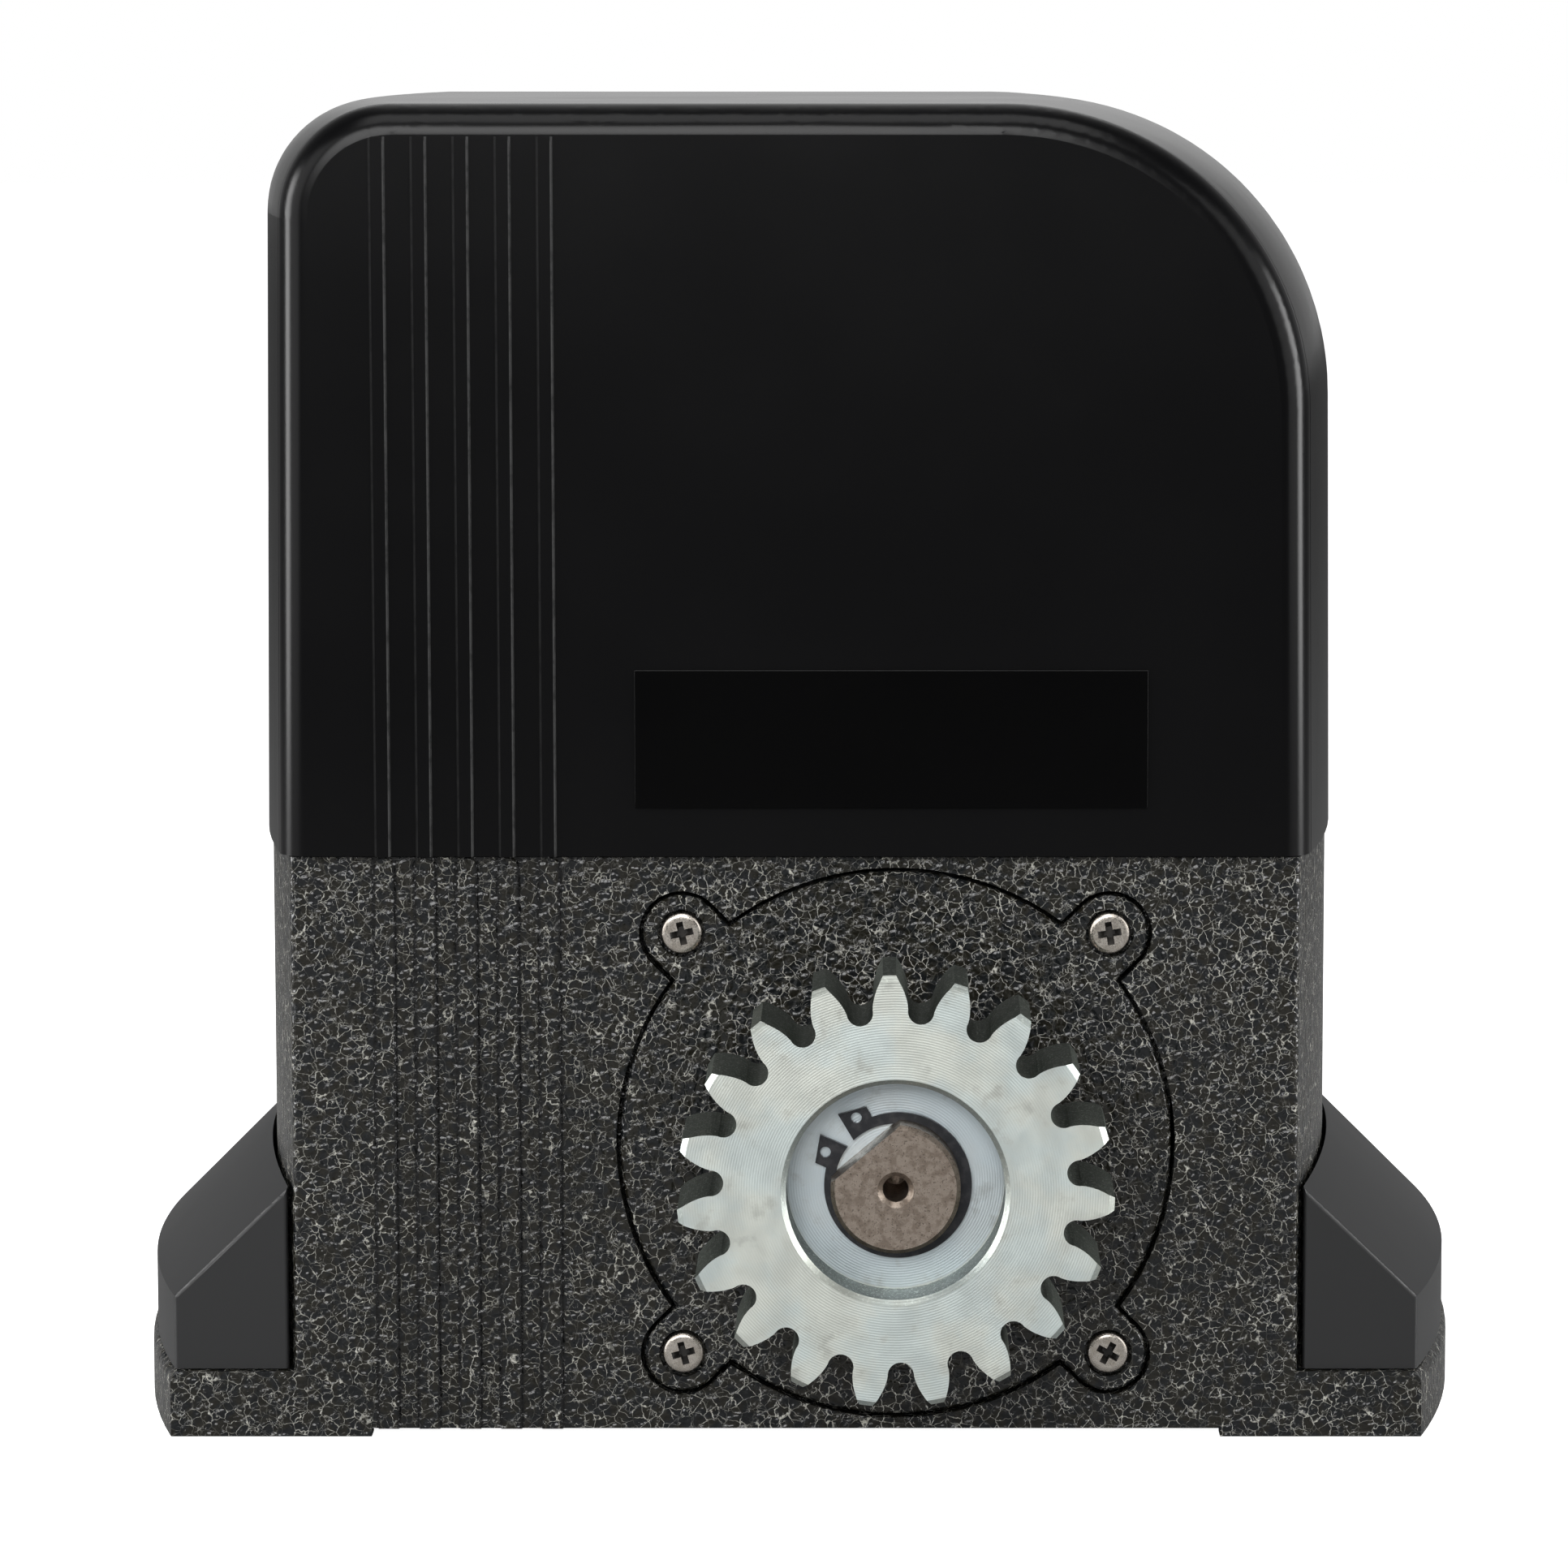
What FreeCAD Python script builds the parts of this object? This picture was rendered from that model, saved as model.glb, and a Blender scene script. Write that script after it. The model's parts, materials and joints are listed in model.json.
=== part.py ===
import FreeCAD, Part
import math
import os
from FreeCAD import Rotation, Vector

# Rack-drive motor for a sliding gate, in millimetres.
# Origin: centre of the four anchor slots, on the underside of the feet.
# +X runs along the gate, -Y points at the gate and its rack, +Z is up.
# Each sub-part is one function, and every STEP file is one physical piece
# or one set of identical pieces.

# ---------------------------------------------------------------- dimensions
# Plan shape: flat front and back, sides that are shallow arcs.
BODY_DEPTH = 160.0
BODY_FRONT_HALF = 100.0      # half width of the casting at its front face
BODY_BULGE = 10.0            # how much further out each side is at mid depth
BODY_HEIGHT = 117.3
BODY_CORNER = 1.2            # rounding of the upright corners
RIM_HEIGHT = 7.3             # top of the casting above its deck
CAST_WALL = 5.0
COVER_SCREW_X = 70.0
COVER_SCREW_RISE = 5.0       # above the top of the casting
CAP_RIB_RUN = 32.0
FOOT_FRONT_HALF = 125.3
FOOT_BULGE = 11.0
FOOT_THICKNESS = 13.2
FOOT_EDGE = 2.5
FOOT_RELIEF = 1.7            # the middle of the underside stands clear
PAD_INNER = 85.0

# Anchor slots for M10 studs.
ANCHOR_X = 235.0
ANCHOR_Y = 110.0
ANCHOR_R = 5.5
ANCHOR_LENGTH = 16.0

# Cover.
COVER_PROUD_FRONT = 2.0      # cover stands forward of the casting
COVER_PROUD_SIDE = 1.2
COVER_FLATTER = 0.5          # its sides bow out less than the casting's
COVER_WALL = 3.0
COVER_HEIGHT = 148.3
COVER_LEFT_R = 22.5
COVER_RIGHT_R = 60.5
COVER_EDGE_R = 6.0
COVER_DRAFT = 1.4            # each side leans in by this much at the top
COVER_GAP = 0.4              # bottom edge above the casting
PARTING_GROOVE = 0.5
LIP_CLEARANCE = 0.8
LIP_WALL = 2.5
LIP_RISE = 8.0

# Raised styling ribs on the front.
RIB_COUNT = 5
RIB_PITCH = 8.2
RIB_FIRST_X = -81.5
RIB_COVER_W = 2.8
RIB_BASE_W = 4.2
RIB_RISE = 0.6
RIB_TOP_MARGIN = 6.3         # from the top of the cover to the rib ends

# Foot caps.
CAP_INSET = 0.9              # cap side inside the foot side
CAP_SETBACK = 1.6            # cap front behind the foot front
CAP_WALL = 2.5
CAP_SIDE_TOP = 28.3          # height of the upright outer wall
CAP_GAP = 0.9                # gap to the casting wall
CAP_SEAT_GAP = 0.3

# Output axis and gear.
SHAFT_X = 20.0
GEAR_MODULE = 4.0
GEAR_TEETH = 19
GEAR_WIDTH = 24.0
GEAR_GAP = 24.5              # flange face to the back of the gear
GEAR_PHASE = 91.6            # direction of one tooth, degrees from +X to +Z
GEAR_TIP_CHAMFER = 1.3
GEAR_RECESS_R = 21.0
GEAR_RECESS_DEPTH = 11.0
SHAFT_NOSE_R = 12.5
SHAFT_NOSE_SETBACK = 3.0     # shaft end behind the gear's front face
SHAFT_FLAT = 9.0             # axis to the driving flat
SHAFT_FLAT_DIR = 130.0
SHAFT_R = 15.0
SHAFT_MID_R = 13.0
SHAFT_DOG_FLAT = 10.5        # axis to each of the two flats under the dog collar
WHEEL_SEAT_R = 12.0
SHAFT_TAIL_R = 10.0
RING_THICKNESS = 1.2
RING_OPEN_DIR = 138.3        # direction of the retaining ring's opening
RING_OPEN_HALF = 12.0
RING_BAND = 2.6
RING_OFFSET = 0.6            # its outer round is off centre, away from the opening
RING_GROOVE = 0.85
RING_LUG = 5.5
RING_LUG_HALF = 2.7
RING_LUG_SLANT = 1.4
RING_LUG_ANGLE = 17.6
RING_HOLE_R = 1.05
NOSE_THREAD_R = 2.5
NOSE_COUNTERSINK = 1.0
NOSE_THREAD_DEPTH = 18.0
FIT = 0.05                   # radial running and assembly clearance

# Gear-side flange.
FLANGE_SILL = 3.8            # casting left under the flange
FLANGE_DECK_GAP = 0.4        # flange ears below the deck
FLANGE_THICKNESS = 9.0
GASKET_THICKNESS = 1.0
FLANGE_GAP = 0.9
EAR_REACH = 5.3              # screw axes outside the round of the flange
EAR_R = 7.6
SPIGOT_R = 43.9
SPIGOT_LENGTH = 8.0
SEAL_BOSS_R = 27.0
SEAL_BOSS_RISE = 6.0
SCREW_R = 2.5
SCREW_LENGTH = 22.0
SCREW_HEAD_R = 4.2
SCREW_HEAD_H = 2.6
HEAD_POCKET_R = 4.8

# Bearings and seals: bore radius, outer radius, width.
FRONT_BEARING = (15.0, 27.5, 13.0)
REAR_BEARING = (10.0, 21.0, 12.0)
WORM_BEARING = (7.5, 16.0, 9.0)
MOTOR_BEARING = (8.5, 20.0, 12.0)
TOP_BEARING = (7.5, 17.5, 11.0)
OUTPUT_SEAL = (15.0, 23.5, 8.0)
WORM_SEAL = (8.5, 16.5, 7.0)

# Worm drive.
WORM_MODULE = 2.5
WHEEL_TEETH = 30
WORM_PITCH_R = 11.0
WHEEL_WIDTH = 18.0
WHEEL_SETBACK = 60.0         # wheel centre behind the gear-side face
WORM_LENGTH = 34.0
WORM_SHOULDER = 7.5          # worm end to its lower bearing, clear of the wheel
CHAMBER_GAP = 4.0            # oil space around the wheel
REAR_BEARING_OFFSET = 20.0   # wheel centre to the rear bearing
REAR_BEARING_LIP = 4.0       # casting in front of the rear bearing
WORM_BORE_R = 16.5
BACKLASH = 0.35

# Dog clutch and release.
DOG_COUNT = 4
DOG_HEIGHT = 4.0
DOG_OUTER_R = 19.5
DOG_INNER_R = 14.5
COLLAR_WIDTH = 12.0
CLUTCH_TRAVEL = 4.5
SPRING_WIRE = 1.8
SPRING_TURNS = 4
SPRING_GAP = 1.3             # spring inside clear of the shaft
PIN_R = 2.5
ROD_R = 2.6
LEVER_OPEN = 90.0
CAM_BASE = 8.0               # pin axis to push rod end, lever closed
LEVER_PIN_DEPTH = 10.0       # pin axis inside the back face
LEVER_HEIGHT = 29.0
LEVER_LENGTH = 59.0
LEVER_THICKNESS = 8.6
LOCK_OFFSET = 39.0           # pin axis to key barrel
LOCK_R = 7.0

# Motor.
STATOR_R = 52.0
STATOR_BORE = 28.0
STACK_HEIGHT = 58.0
ENDBELL_LOW = 20.0
ENDBELL_TOP = 26.0
ENDBELL_WALL = 5.0
AIR_GAP = 0.5
THROUGH_BOLT_R = 2.0
BOLT_HEAD_ACROSS = 7.0
BOLT_HEAD_H = 3.0
BOLT_HEAD_SINK = 2.0
COIL_LOW_H = 11.0
COIL_TOP_H = 13.0
COIL_EDGE = 3.0
STATOR_SLOTS = 12

# Electrics.
BOARD_W = 130.0
BOARD_H = 96.0
BOARD_T = 1.6
BOARD_BACK_ROOM = 32.0       # board face to the back of the casting
BOARD_X = 7.0
BOARD_RISE = 18.0            # lower edge of the board above the deck
CAPACITOR_R = 20.0
CAPACITOR_H = 86.0
CAPACITOR_X = 68.0
CAPACITOR_SETBACK = 42.0     # its axis behind the gear-side face
ENTRY_X = -78.0
ENTRY_BACK = 35.0            # its axis inside the back face
ENTRY_R = 12.0
BOARD_HOLE_INSET = 6.0
BOARD_STANDOFF = 6.0         # board above the plate of its tray
TRAY_PLATE = 2.5
TRAY_FOOT_DEPTH = 22.0
TRAY_FOOT_H = 3.0
TRAY_GUSSET_H = 12.0
BOARD_SCREW_R = 1.5
BOARD_SCREW_HEAD_R = 3.0
BOARD_SCREW_HEAD_H = 2.0
TRANSFORMER_X = 14.0         # parts on the board, from its lower left corner
TRANSFORMER_Z = 52.0
TRANSFORMER_W = 40.0
TRANSFORMER_H = 34.0
TRANSFORMER_CORE = 12.0
TRANSFORMER_DEPTH = 22.0
BOBBIN_MARGIN = 6.0
RELAY_RIGHT = 12.0           # last relay to the right edge
RELAY_Z = 56.0
RELAY_W = 16.0
RELAY_H = 20.0
RELAY_DEPTH = 16.0
RELAY_GAP = 4.0
TERMINAL_WAYS = 5
TERMINAL_PITCH = 5.0
TERMINAL_GAP = 2.0
TERMINAL_EDGE = 11.0         # kept clear at each end for the board screws
TERMINAL_Z = 3.0
TERMINAL_H = 12.0
TERMINAL_DEPTH = 14.0
TERMINAL_MOUTH = 3.0
TERMINAL_MOUTH_DEPTH = 6.0
FUSE_X = 14.0
FUSE_Z = 30.0
FUSE_LENGTH = 24.0
FUSE_H = 9.0
FUSE_BASE = 5.0
FUSE_GLASS_R = 2.6
RADIO_RIGHT = 24.0
RADIO_Z = 24.0
RADIO_H = 24.0
RADIO_DEPTH = 18.0
RADIO_T = 2.0
SENSOR_X = 12.0
SENSOR_SETBACK = 6.0         # its face behind the gear-side face of the casting
SENSOR_W = 30.0
SENSOR_T = 11.0
SENSOR_LOW = 14.0            # above the deck
SENSOR_TOP = 36.0
SENSOR_PLATE = 1.5
SENSOR_PLATE_INSET = 4.0
SENSOR_FOOT = 12.0
CLAMP_RISE = 18.0
CLAMP_BAND = 14.0
CLAMP_T = 1.5
CLAMP_HALF = 7.0
CLAMP_FOOT = 14.0
TAB_SPREAD = 7.0
TAB_HALF = 3.0
TAB_T = 0.8
TAB_H = 9.0
OIL_PLUG_X = 45.0
OIL_PLUG_SETBACK = 68.0
OIL_PLUG_ACROSS = 14.0
OIL_PLUG_HEAD = 6.0
OIL_PLUG_STEM_R = 5.0
OIL_PLUG_STEM = 9.0
EARTH_X = -84.0
EARTH_SETBACK = 30.0
EARTH_WASHER = 10.0
EARTH_WASHER_T = 1.2
EARTH_STEM_R = 2.0
EARTH_STEM = 7.0
EARTH_HEAD_R = 4.0
EARTH_HEAD_H = 2.6
GROMMET_WALL = 2.5
GROMMET_THROAT = 13.0
GROMMET_BRIM = 3.0

# ------------------------------------------------------------ derived places
HALF_DEPTH = BODY_DEPTH / 2
DECK_HEIGHT = BODY_HEIGHT - RIM_HEIGHT
COVER_BOTTOM = BODY_HEIGHT + COVER_GAP
COVER_TOP = COVER_BOTTOM + COVER_HEIGHT
# The flange and its ears fill the height between the sill and the deck.
EAR_TOP = DECK_HEIGHT - FLANGE_DECK_GAP - EAR_R
EAR_RISE = (EAR_REACH - FLANGE_SILL - FLANGE_GAP) / math.sqrt(2)
SHAFT_Z = (EAR_TOP - EAR_RISE) / (1 + 1 / math.sqrt(2))
FLANGE_R = SHAFT_Z - FLANGE_SILL - FLANGE_GAP
EAR_OFFSET = (FLANGE_R + EAR_REACH) / math.sqrt(2)
GEAR_BACK_Y = -HALF_DEPTH - GEAR_GAP
GEAR_FRONT_Y = GEAR_BACK_Y - GEAR_WIDTH
NOSE_END_Y = GEAR_FRONT_Y + SHAFT_NOSE_SETBACK
RECESS_FLOOR_Y = GEAR_FRONT_Y + GEAR_RECESS_DEPTH
FLANGE_BACK_Y = -HALF_DEPTH + FLANGE_THICKNESS
POCKET_FLOOR_Y = FLANGE_BACK_Y + GASKET_THICKNESS
SPIGOT_END_Y = FLANGE_BACK_Y + SPIGOT_LENGTH
SEAL_FRONT_Y = -HALF_DEPTH - SEAL_BOSS_RISE
FRONT_BEARING_Y = SPIGOT_END_Y - FRONT_BEARING[2]
WHEEL_Y = -HALF_DEPTH + WHEEL_SETBACK
MOTOR_Y = WHEEL_Y
WHEEL_R = WORM_MODULE * WHEEL_TEETH / 2
CHAMBER_R = WHEEL_R + WORM_MODULE + CHAMBER_GAP
WORM_X = SHAFT_X - WHEEL_R - WORM_PITCH_R
WORM_PITCH = math.pi * WORM_MODULE
WORM_TIP_R = WORM_PITCH_R + WORM_MODULE
WORM_ROOT_R = WORM_PITCH_R - 1.25 * WORM_MODULE
WHEEL_FRONT_Y = WHEEL_Y - WHEEL_WIDTH / 2
HUB_FRONT_Y = WHEEL_FRONT_Y - 4.0
HUB_REAR_Y = WHEEL_Y + 12.0
COLLAR_REAR_Y = HUB_FRONT_Y - DOG_HEIGHT
COLLAR_FRONT_Y = COLLAR_REAR_Y - COLLAR_WIDTH
CROSS_PIN_Y = (COLLAR_REAR_Y + COLLAR_FRONT_Y) / 2
REAR_BEARING_Y = WHEEL_Y + REAR_BEARING_OFFSET
CHAMBER_REAR = REAR_BEARING_Y - REAR_BEARING_LIP
CAM_RATE = CLUTCH_TRAVEL / math.radians(LEVER_OPEN)
LEVER_PIN_X = SHAFT_X - CAM_RATE
LEVER_PIN_Y = HALF_DEPTH - LEVER_PIN_DEPTH
ROD_END_Y = LEVER_PIN_Y - CAM_BASE - 0.15
WORM_BEARING_Z = SHAFT_Z - WORM_LENGTH / 2 - WORM_SHOULDER - WORM_BEARING[2]
WORM_SEAL_Z = DECK_HEIGHT - 4.0 - WORM_SEAL[2]
MOTOR_BEARING_Z = DECK_HEIGHT + 3.0
STACK_Z = DECK_HEIGHT + ENDBELL_LOW
STACK_TOP_Z = STACK_Z + STACK_HEIGHT
MOTOR_TOP_Z = STACK_TOP_Z + ENDBELL_TOP
TOP_BEARING_Z = MOTOR_TOP_Z - 4.0 - TOP_BEARING[2]
BOARD_Y = HALF_DEPTH - BOARD_BACK_ROOM
BOARD_Z = DECK_HEIGHT + BOARD_RISE
CAPACITOR_Y = -HALF_DEPTH + CAPACITOR_SETBACK
ENTRY_Y = HALF_DEPTH - ENTRY_BACK
SPRING_FRONT_Y = SPIGOT_END_Y
SENSOR_Y = -HALF_DEPTH + SENSOR_SETBACK
OIL_PLUG_AT = Vector(OIL_PLUG_X, -HALF_DEPTH + OIL_PLUG_SETBACK, DECK_HEIGHT)
EARTH_AT = Vector(EARTH_X, -HALF_DEPTH + EARTH_SETBACK, DECK_HEIGHT)

X_AXIS = Vector(1, 0, 0)
Y_AXIS = Vector(0, 1, 0)
Z_AXIS = Vector(0, 0, 1)


# ------------------------------------------------------------ small builders
def block(x0, x1, y0, y1, z0, z1):
    """A box between two corners."""
    return Part.makeBox(x1 - x0, y1 - y0, z1 - z0, Vector(x0, y0, z0))


def rod(radius, start, axis, length):
    """A round bar from start along axis."""
    return Part.makeCylinder(radius, length, start, axis)


def ring(inner, outer, start, axis, length):
    """A tube from start along axis."""
    return rod(outer, start, axis, length).cut(rod(inner, start, axis, length))


def along_output(y):
    """The point on the output axis at depth y."""
    return Vector(SHAFT_X, y, SHAFT_Z)


def along_motor(z):
    """The point on the motor axis at height z."""
    return Vector(WORM_X, MOTOR_Y, z)


def output_ring(inner, outer, y, length):
    """A ring on the output axis from y towards the back."""
    return ring(inner, outer, along_output(y), Y_AXIS, length)


def motor_ring(inner, outer, z, length):
    """A ring on the motor axis from z upwards."""
    return ring(inner, outer, along_motor(z), Z_AXIS, length)


def polar(radius, degrees):
    """A point in the XZ plane, turned from +X towards +Z."""
    a = math.radians(degrees)
    return Vector(radius * math.cos(a), 0, radius * math.sin(a))


def fuse_all(shapes):
    """One solid from several touching ones."""
    body = shapes[0].multiFuse(shapes[1:])
    return body.removeSplitter()


def compound(shapes):
    """Separate identical pieces kept in one node."""
    return Part.makeCompound(shapes)


def save(name, shape):
    """Write one node's STEP file."""
    shape.exportStep("parts/" + name + ".step")


def rounded_outline(points, radii):
    """A closed wire through points, with an arc of its radius at each corner."""
    count = len(points)
    starts, mids, ends = [], [], []
    for i in range(count):
        corner, radius = points[i], radii[i]
        into = (points[i - 1] - corner).normalize()
        out = (points[(i + 1) % count] - corner).normalize()
        if radius == 0:
            starts.append(corner)
            mids.append(None)
            ends.append(corner)
            continue
        half = into.getAngle(out) / 2
        reach = radius / math.tan(half)
        centre = corner + (into + out).normalize() * (radius / math.sin(half))
        starts.append(corner + into * reach)
        mids.append(centre + (corner - centre).normalize() * radius)
        ends.append(corner + out * reach)
    edges = []
    for i in range(count):
        if mids[i] is not None:
            edges.append(Part.Arc(starts[i], mids[i], ends[i]).toShape())
        edges.append(Part.LineSegment(ends[i], starts[(i + 1) % count]).toShape())
    return Part.Wire(edges)


class Plan:
    """A plan outline with flat front and back and arched sides."""

    def __init__(self, half, bulge, depth):
        self.half, self.bulge, self.depth = half, bulge, depth
        d = depth / 2
        self.radius = (d * d + bulge * bulge) / (2 * bulge)
        self.centre = half + bulge - self.radius

    def side(self, y):
        """Half width at depth y."""
        return self.centre + math.sqrt(self.radius ** 2 - y ** 2)

    def inset(self, gap):
        """The outline a constant gap further in."""
        d = self.depth / 2 - gap
        r = self.radius - gap
        half = self.centre + math.sqrt(r * r - d * d)
        return Plan(half, self.centre + r - half, 2 * d)

    def prism(self, z0, z1):
        """The outline pulled up from z0 to z1."""
        h, d = self.half, self.depth / 2
        w = h + self.bulge
        right = Part.Arc(Vector(h, -d, z0), Vector(w, 0, z0), Vector(h, d, z0))
        left = Part.Arc(Vector(-h, d, z0), Vector(-w, 0, z0), Vector(-h, -d, z0))
        front = Part.LineSegment(Vector(-h, -d, z0), Vector(h, -d, z0))
        back = Part.LineSegment(Vector(h, d, z0), Vector(-h, d, z0))
        wire = Part.Wire([s.toShape() for s in (front, right, back, left)])
        return Part.Face(wire).extrude(Vector(0, 0, z1 - z0))


BODY_PLAN = Plan(BODY_FRONT_HALF, BODY_BULGE, BODY_DEPTH)
FOOT_PLAN = Plan(FOOT_FRONT_HALF, FOOT_BULGE, BODY_DEPTH)
COVER_PLAN = Plan(BODY_FRONT_HALF + COVER_PROUD_SIDE, BODY_BULGE - COVER_FLATTER,
                  BODY_DEPTH + 2 * COVER_PROUD_FRONT)
COVER_INNER = COVER_PLAN.inset(COVER_WALL)
LIP_PLAN = COVER_INNER.inset(LIP_CLEARANCE)
COMPARTMENT = LIP_PLAN.inset(LIP_WALL)
CAP_PLAN = Plan(FOOT_FRONT_HALF - CAP_INSET, FOOT_BULGE, BODY_DEPTH - 2 * CAP_SETBACK)


# --------------------------------------------------------------- the casting
def rib(x, width, y, z0, z1):
    """One raised rib on a face at depth y, with a round top end."""
    stem = block(x - width / 2, x + width / 2, y - RIB_RISE, y + 1, z0, z1)
    end = rod(width / 2, Vector(x, y - RIB_RISE, z1), Y_AXIS, RIB_RISE + 1)
    return stem.fuse(end)


def rib_places():
    """The x of every rib."""
    return [RIB_FIRST_X + i * RIB_PITCH for i in range(RIB_COUNT)]


def slot(x, y, z0, z1):
    """An anchor slot, long along X."""
    half = ANCHOR_LENGTH / 2 - ANCHOR_R
    ends = [rod(ANCHOR_R, Vector(x + s * half, y, z0), Z_AXIS, z1 - z0) for s in (-1, 1)]
    middle = block(x - half, x + half, y - ANCHOR_R, y + ANCHOR_R, z0, z1)
    return fuse_all([middle] + ends)


def flange_outline(grow, y, length):
    """The round flange with its four ears, grown all round by a gap."""
    shapes = [rod(FLANGE_R + grow, along_output(y), Y_AXIS, length)]
    reach = EAR_OFFSET * math.sqrt(2)
    for quarter in range(4):
        angle = 45 + 90 * quarter
        tip = along_output(y) + polar(reach, angle)
        shapes.append(rod(EAR_R + grow, tip, Y_AXIS, length))
        arm = block(0, reach, y, y + length, -EAR_R - grow, EAR_R + grow)
        arm.rotate(Vector(0, 0, 0), Y_AXIS, -angle)
        arm.translate(Vector(SHAFT_X, 0, SHAFT_Z))
        shapes.append(arm)
    return fuse_all(shapes)


def ear_centres(y):
    """The four flange screw axes."""
    return [Vector(SHAFT_X + sx * EAR_OFFSET, y, SHAFT_Z + sz * EAR_OFFSET)
            for sx in (-1, 1) for sz in (-1, 1)]


def through_bolt_centres(z):
    """The four long motor bolts."""
    reach = STATOR_R - ENDBELL_WALL / 2
    return [along_motor(z) + Vector(reach * math.cos(a), reach * math.sin(a), 0)
            for a in (math.radians(45 + 90 * k) for k in range(4))]


def cover_screw_places():
    """Where the two cover screws enter the rear lip."""
    return [Vector(s * COVER_SCREW_X, LIP_PLAN.depth / 2, BODY_HEIGHT + COVER_SCREW_RISE) for s in (-1, 1)]


def lever_recess():
    """The pocket in the back face for the release lever."""
    low = SHAFT_Z - LEVER_HEIGHT / 2 - 0.6
    high = SHAFT_Z + LEVER_HEIGHT / 2 + 0.6
    back = HALF_DEPTH + 1
    floor = LEVER_PIN_Y - 0.5
    reach = CAM_BASE + CLUTCH_TRAVEL + 1.6
    handle = block(LEVER_PIN_X - LEVER_LENGTH - 7, LEVER_PIN_X, floor, back, low, high)
    cam = block(LEVER_PIN_X - reach, LEVER_PIN_X + reach, LEVER_PIN_Y - reach, back, low, high)
    x = LEVER_PIN_X - LOCK_OFFSET
    opening = block(x - 10, x + 10, floor - 6.5, floor + 1, SHAFT_Z - 4, SHAFT_Z + 4)
    keeper = rod(9.2, Vector(x, floor - 6.5, SHAFT_Z), Y_AXIS, 3.8)
    return fuse_all([handle, cam, opening, keeper])


def lower_housing():
    """Cast base: gearbox, feet, deck and the lip that locates the cover."""
    body = BODY_PLAN.prism(0, BODY_HEIGHT)
    corners = [e for e in body.Edges if abs(e.tangentAt(e.FirstParameter).z) > 0.99]
    body = body.makeFillet(BODY_CORNER, corners)
    feet = FOOT_PLAN.prism(0, FOOT_THICKNESS)
    rim = [e for e in feet.Edges if e.BoundBox.ZMin > FOOT_THICKNESS - 0.01
           and e.BoundBox.YLength > 1]
    feet = feet.makeFillet(FOOT_EDGE, rim)
    lip = LIP_PLAN.prism(DECK_HEIGHT, BODY_HEIGHT + LIP_RISE)
    ribs = [rib(x, RIB_BASE_W, -HALF_DEPTH, FOOT_RELIEF, BODY_HEIGHT - RIB_BASE_W / 2 - 0.2)
            for x in rib_places()]
    casting = fuse_all([body, feet, lip] + ribs)

    top = BODY_HEIGHT + LIP_RISE + 1
    cuts = [COMPARTMENT.prism(DECK_HEIGHT, top)]
    cuts.append(block(-PAD_INNER, PAD_INNER, -HALF_DEPTH - 2, HALF_DEPTH + 2, -1, FOOT_RELIEF))
    for sx in (-1, 1):
        for sy in (-1, 1):
            cuts.append(slot(sx * ANCHOR_X / 2, sy * ANCHOR_Y / 2, -1, FOOT_THICKNESS + 1))

    # Gear chamber, bearing seats and the worm's bore.
    cuts.append(flange_outline(FLANGE_GAP, -HALF_DEPTH - 2, POCKET_FLOOR_Y + HALF_DEPTH + 2))
    cuts.append(rod(CHAMBER_R, along_output(POCKET_FLOOR_Y - 1), Y_AXIS,
                    CHAMBER_REAR - POCKET_FLOOR_Y + 1))
    cuts.append(rod(REAR_BEARING[1] + FIT, along_output(CHAMBER_REAR - 1), Y_AXIS,
                    REAR_BEARING_Y + REAR_BEARING[2] + 0.1 - CHAMBER_REAR + 1))
    cuts.append(rod(SHAFT_TAIL_R + 2.5, along_output(REAR_BEARING_Y), Y_AXIS,
                    REAR_BEARING[2] + 6))
    cuts.append(rod(ROD_R + 0.3, along_output(REAR_BEARING_Y), Y_AXIS, LEVER_PIN_Y))
    cuts.append(rod(WORM_BORE_R + FIT, along_motor(WORM_BEARING_Z + WORM_BEARING[2]), Z_AXIS,
                    DECK_HEIGHT - WORM_BEARING_Z))
    cuts.append(rod(WORM_BEARING[1] + FIT, along_motor(WORM_BEARING_Z - 0.1), Z_AXIS,
                    WORM_BEARING[2] + 1))
    cuts.append(rod(WORM_BEARING[0] + 1, along_motor(WORM_BEARING_Z - 4), Z_AXIS, 5))

    # Tapped holes.
    for p in ear_centres(POCKET_FLOOR_Y - 1):
        cuts.append(rod(SCREW_R + 0.02, p, Y_AXIS, SCREW_LENGTH))
    for p in through_bolt_centres(DECK_HEIGHT - 7.2):
        cuts.append(rod(THROUGH_BOLT_R + 0.02, p, Z_AXIS, 9))
    for p in cover_screw_places():
        cuts.append(rod(SCREW_R + 0.02, p + Vector(0, -LIP_WALL - 9, 0), Y_AXIS, LIP_WALL + 12))

    # Hollow under the deck on both sides: the left one takes the cables.
    hollow = BODY_PLAN.inset(CAST_WALL).prism(-1, DECK_HEIGHT - 13)
    left = block(-BODY_FRONT_HALF - 30, WORM_X - WORM_BORE_R - 8, -HALF_DEPTH, HALF_DEPTH, -2, DECK_HEIGHT)
    right = block(SHAFT_X + EAR_OFFSET + EAR_R + 5, BODY_FRONT_HALF + 30, -HALF_DEPTH, HALF_DEPTH, -2, DECK_HEIGHT)
    cuts.append(hollow.common(left))
    cuts.append(hollow.common(right))
    cuts.append(rod(ENTRY_R, Vector(ENTRY_X, ENTRY_Y, DECK_HEIGHT - 20), Z_AXIS, 30))
    cuts.append(rod(5.02, OIL_PLUG_AT - Vector(0, 0, 30), Z_AXIS, 40))
    cuts.append(rod(2.02, EARTH_AT - Vector(0, 0, 8), Z_AXIS, 10))

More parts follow.
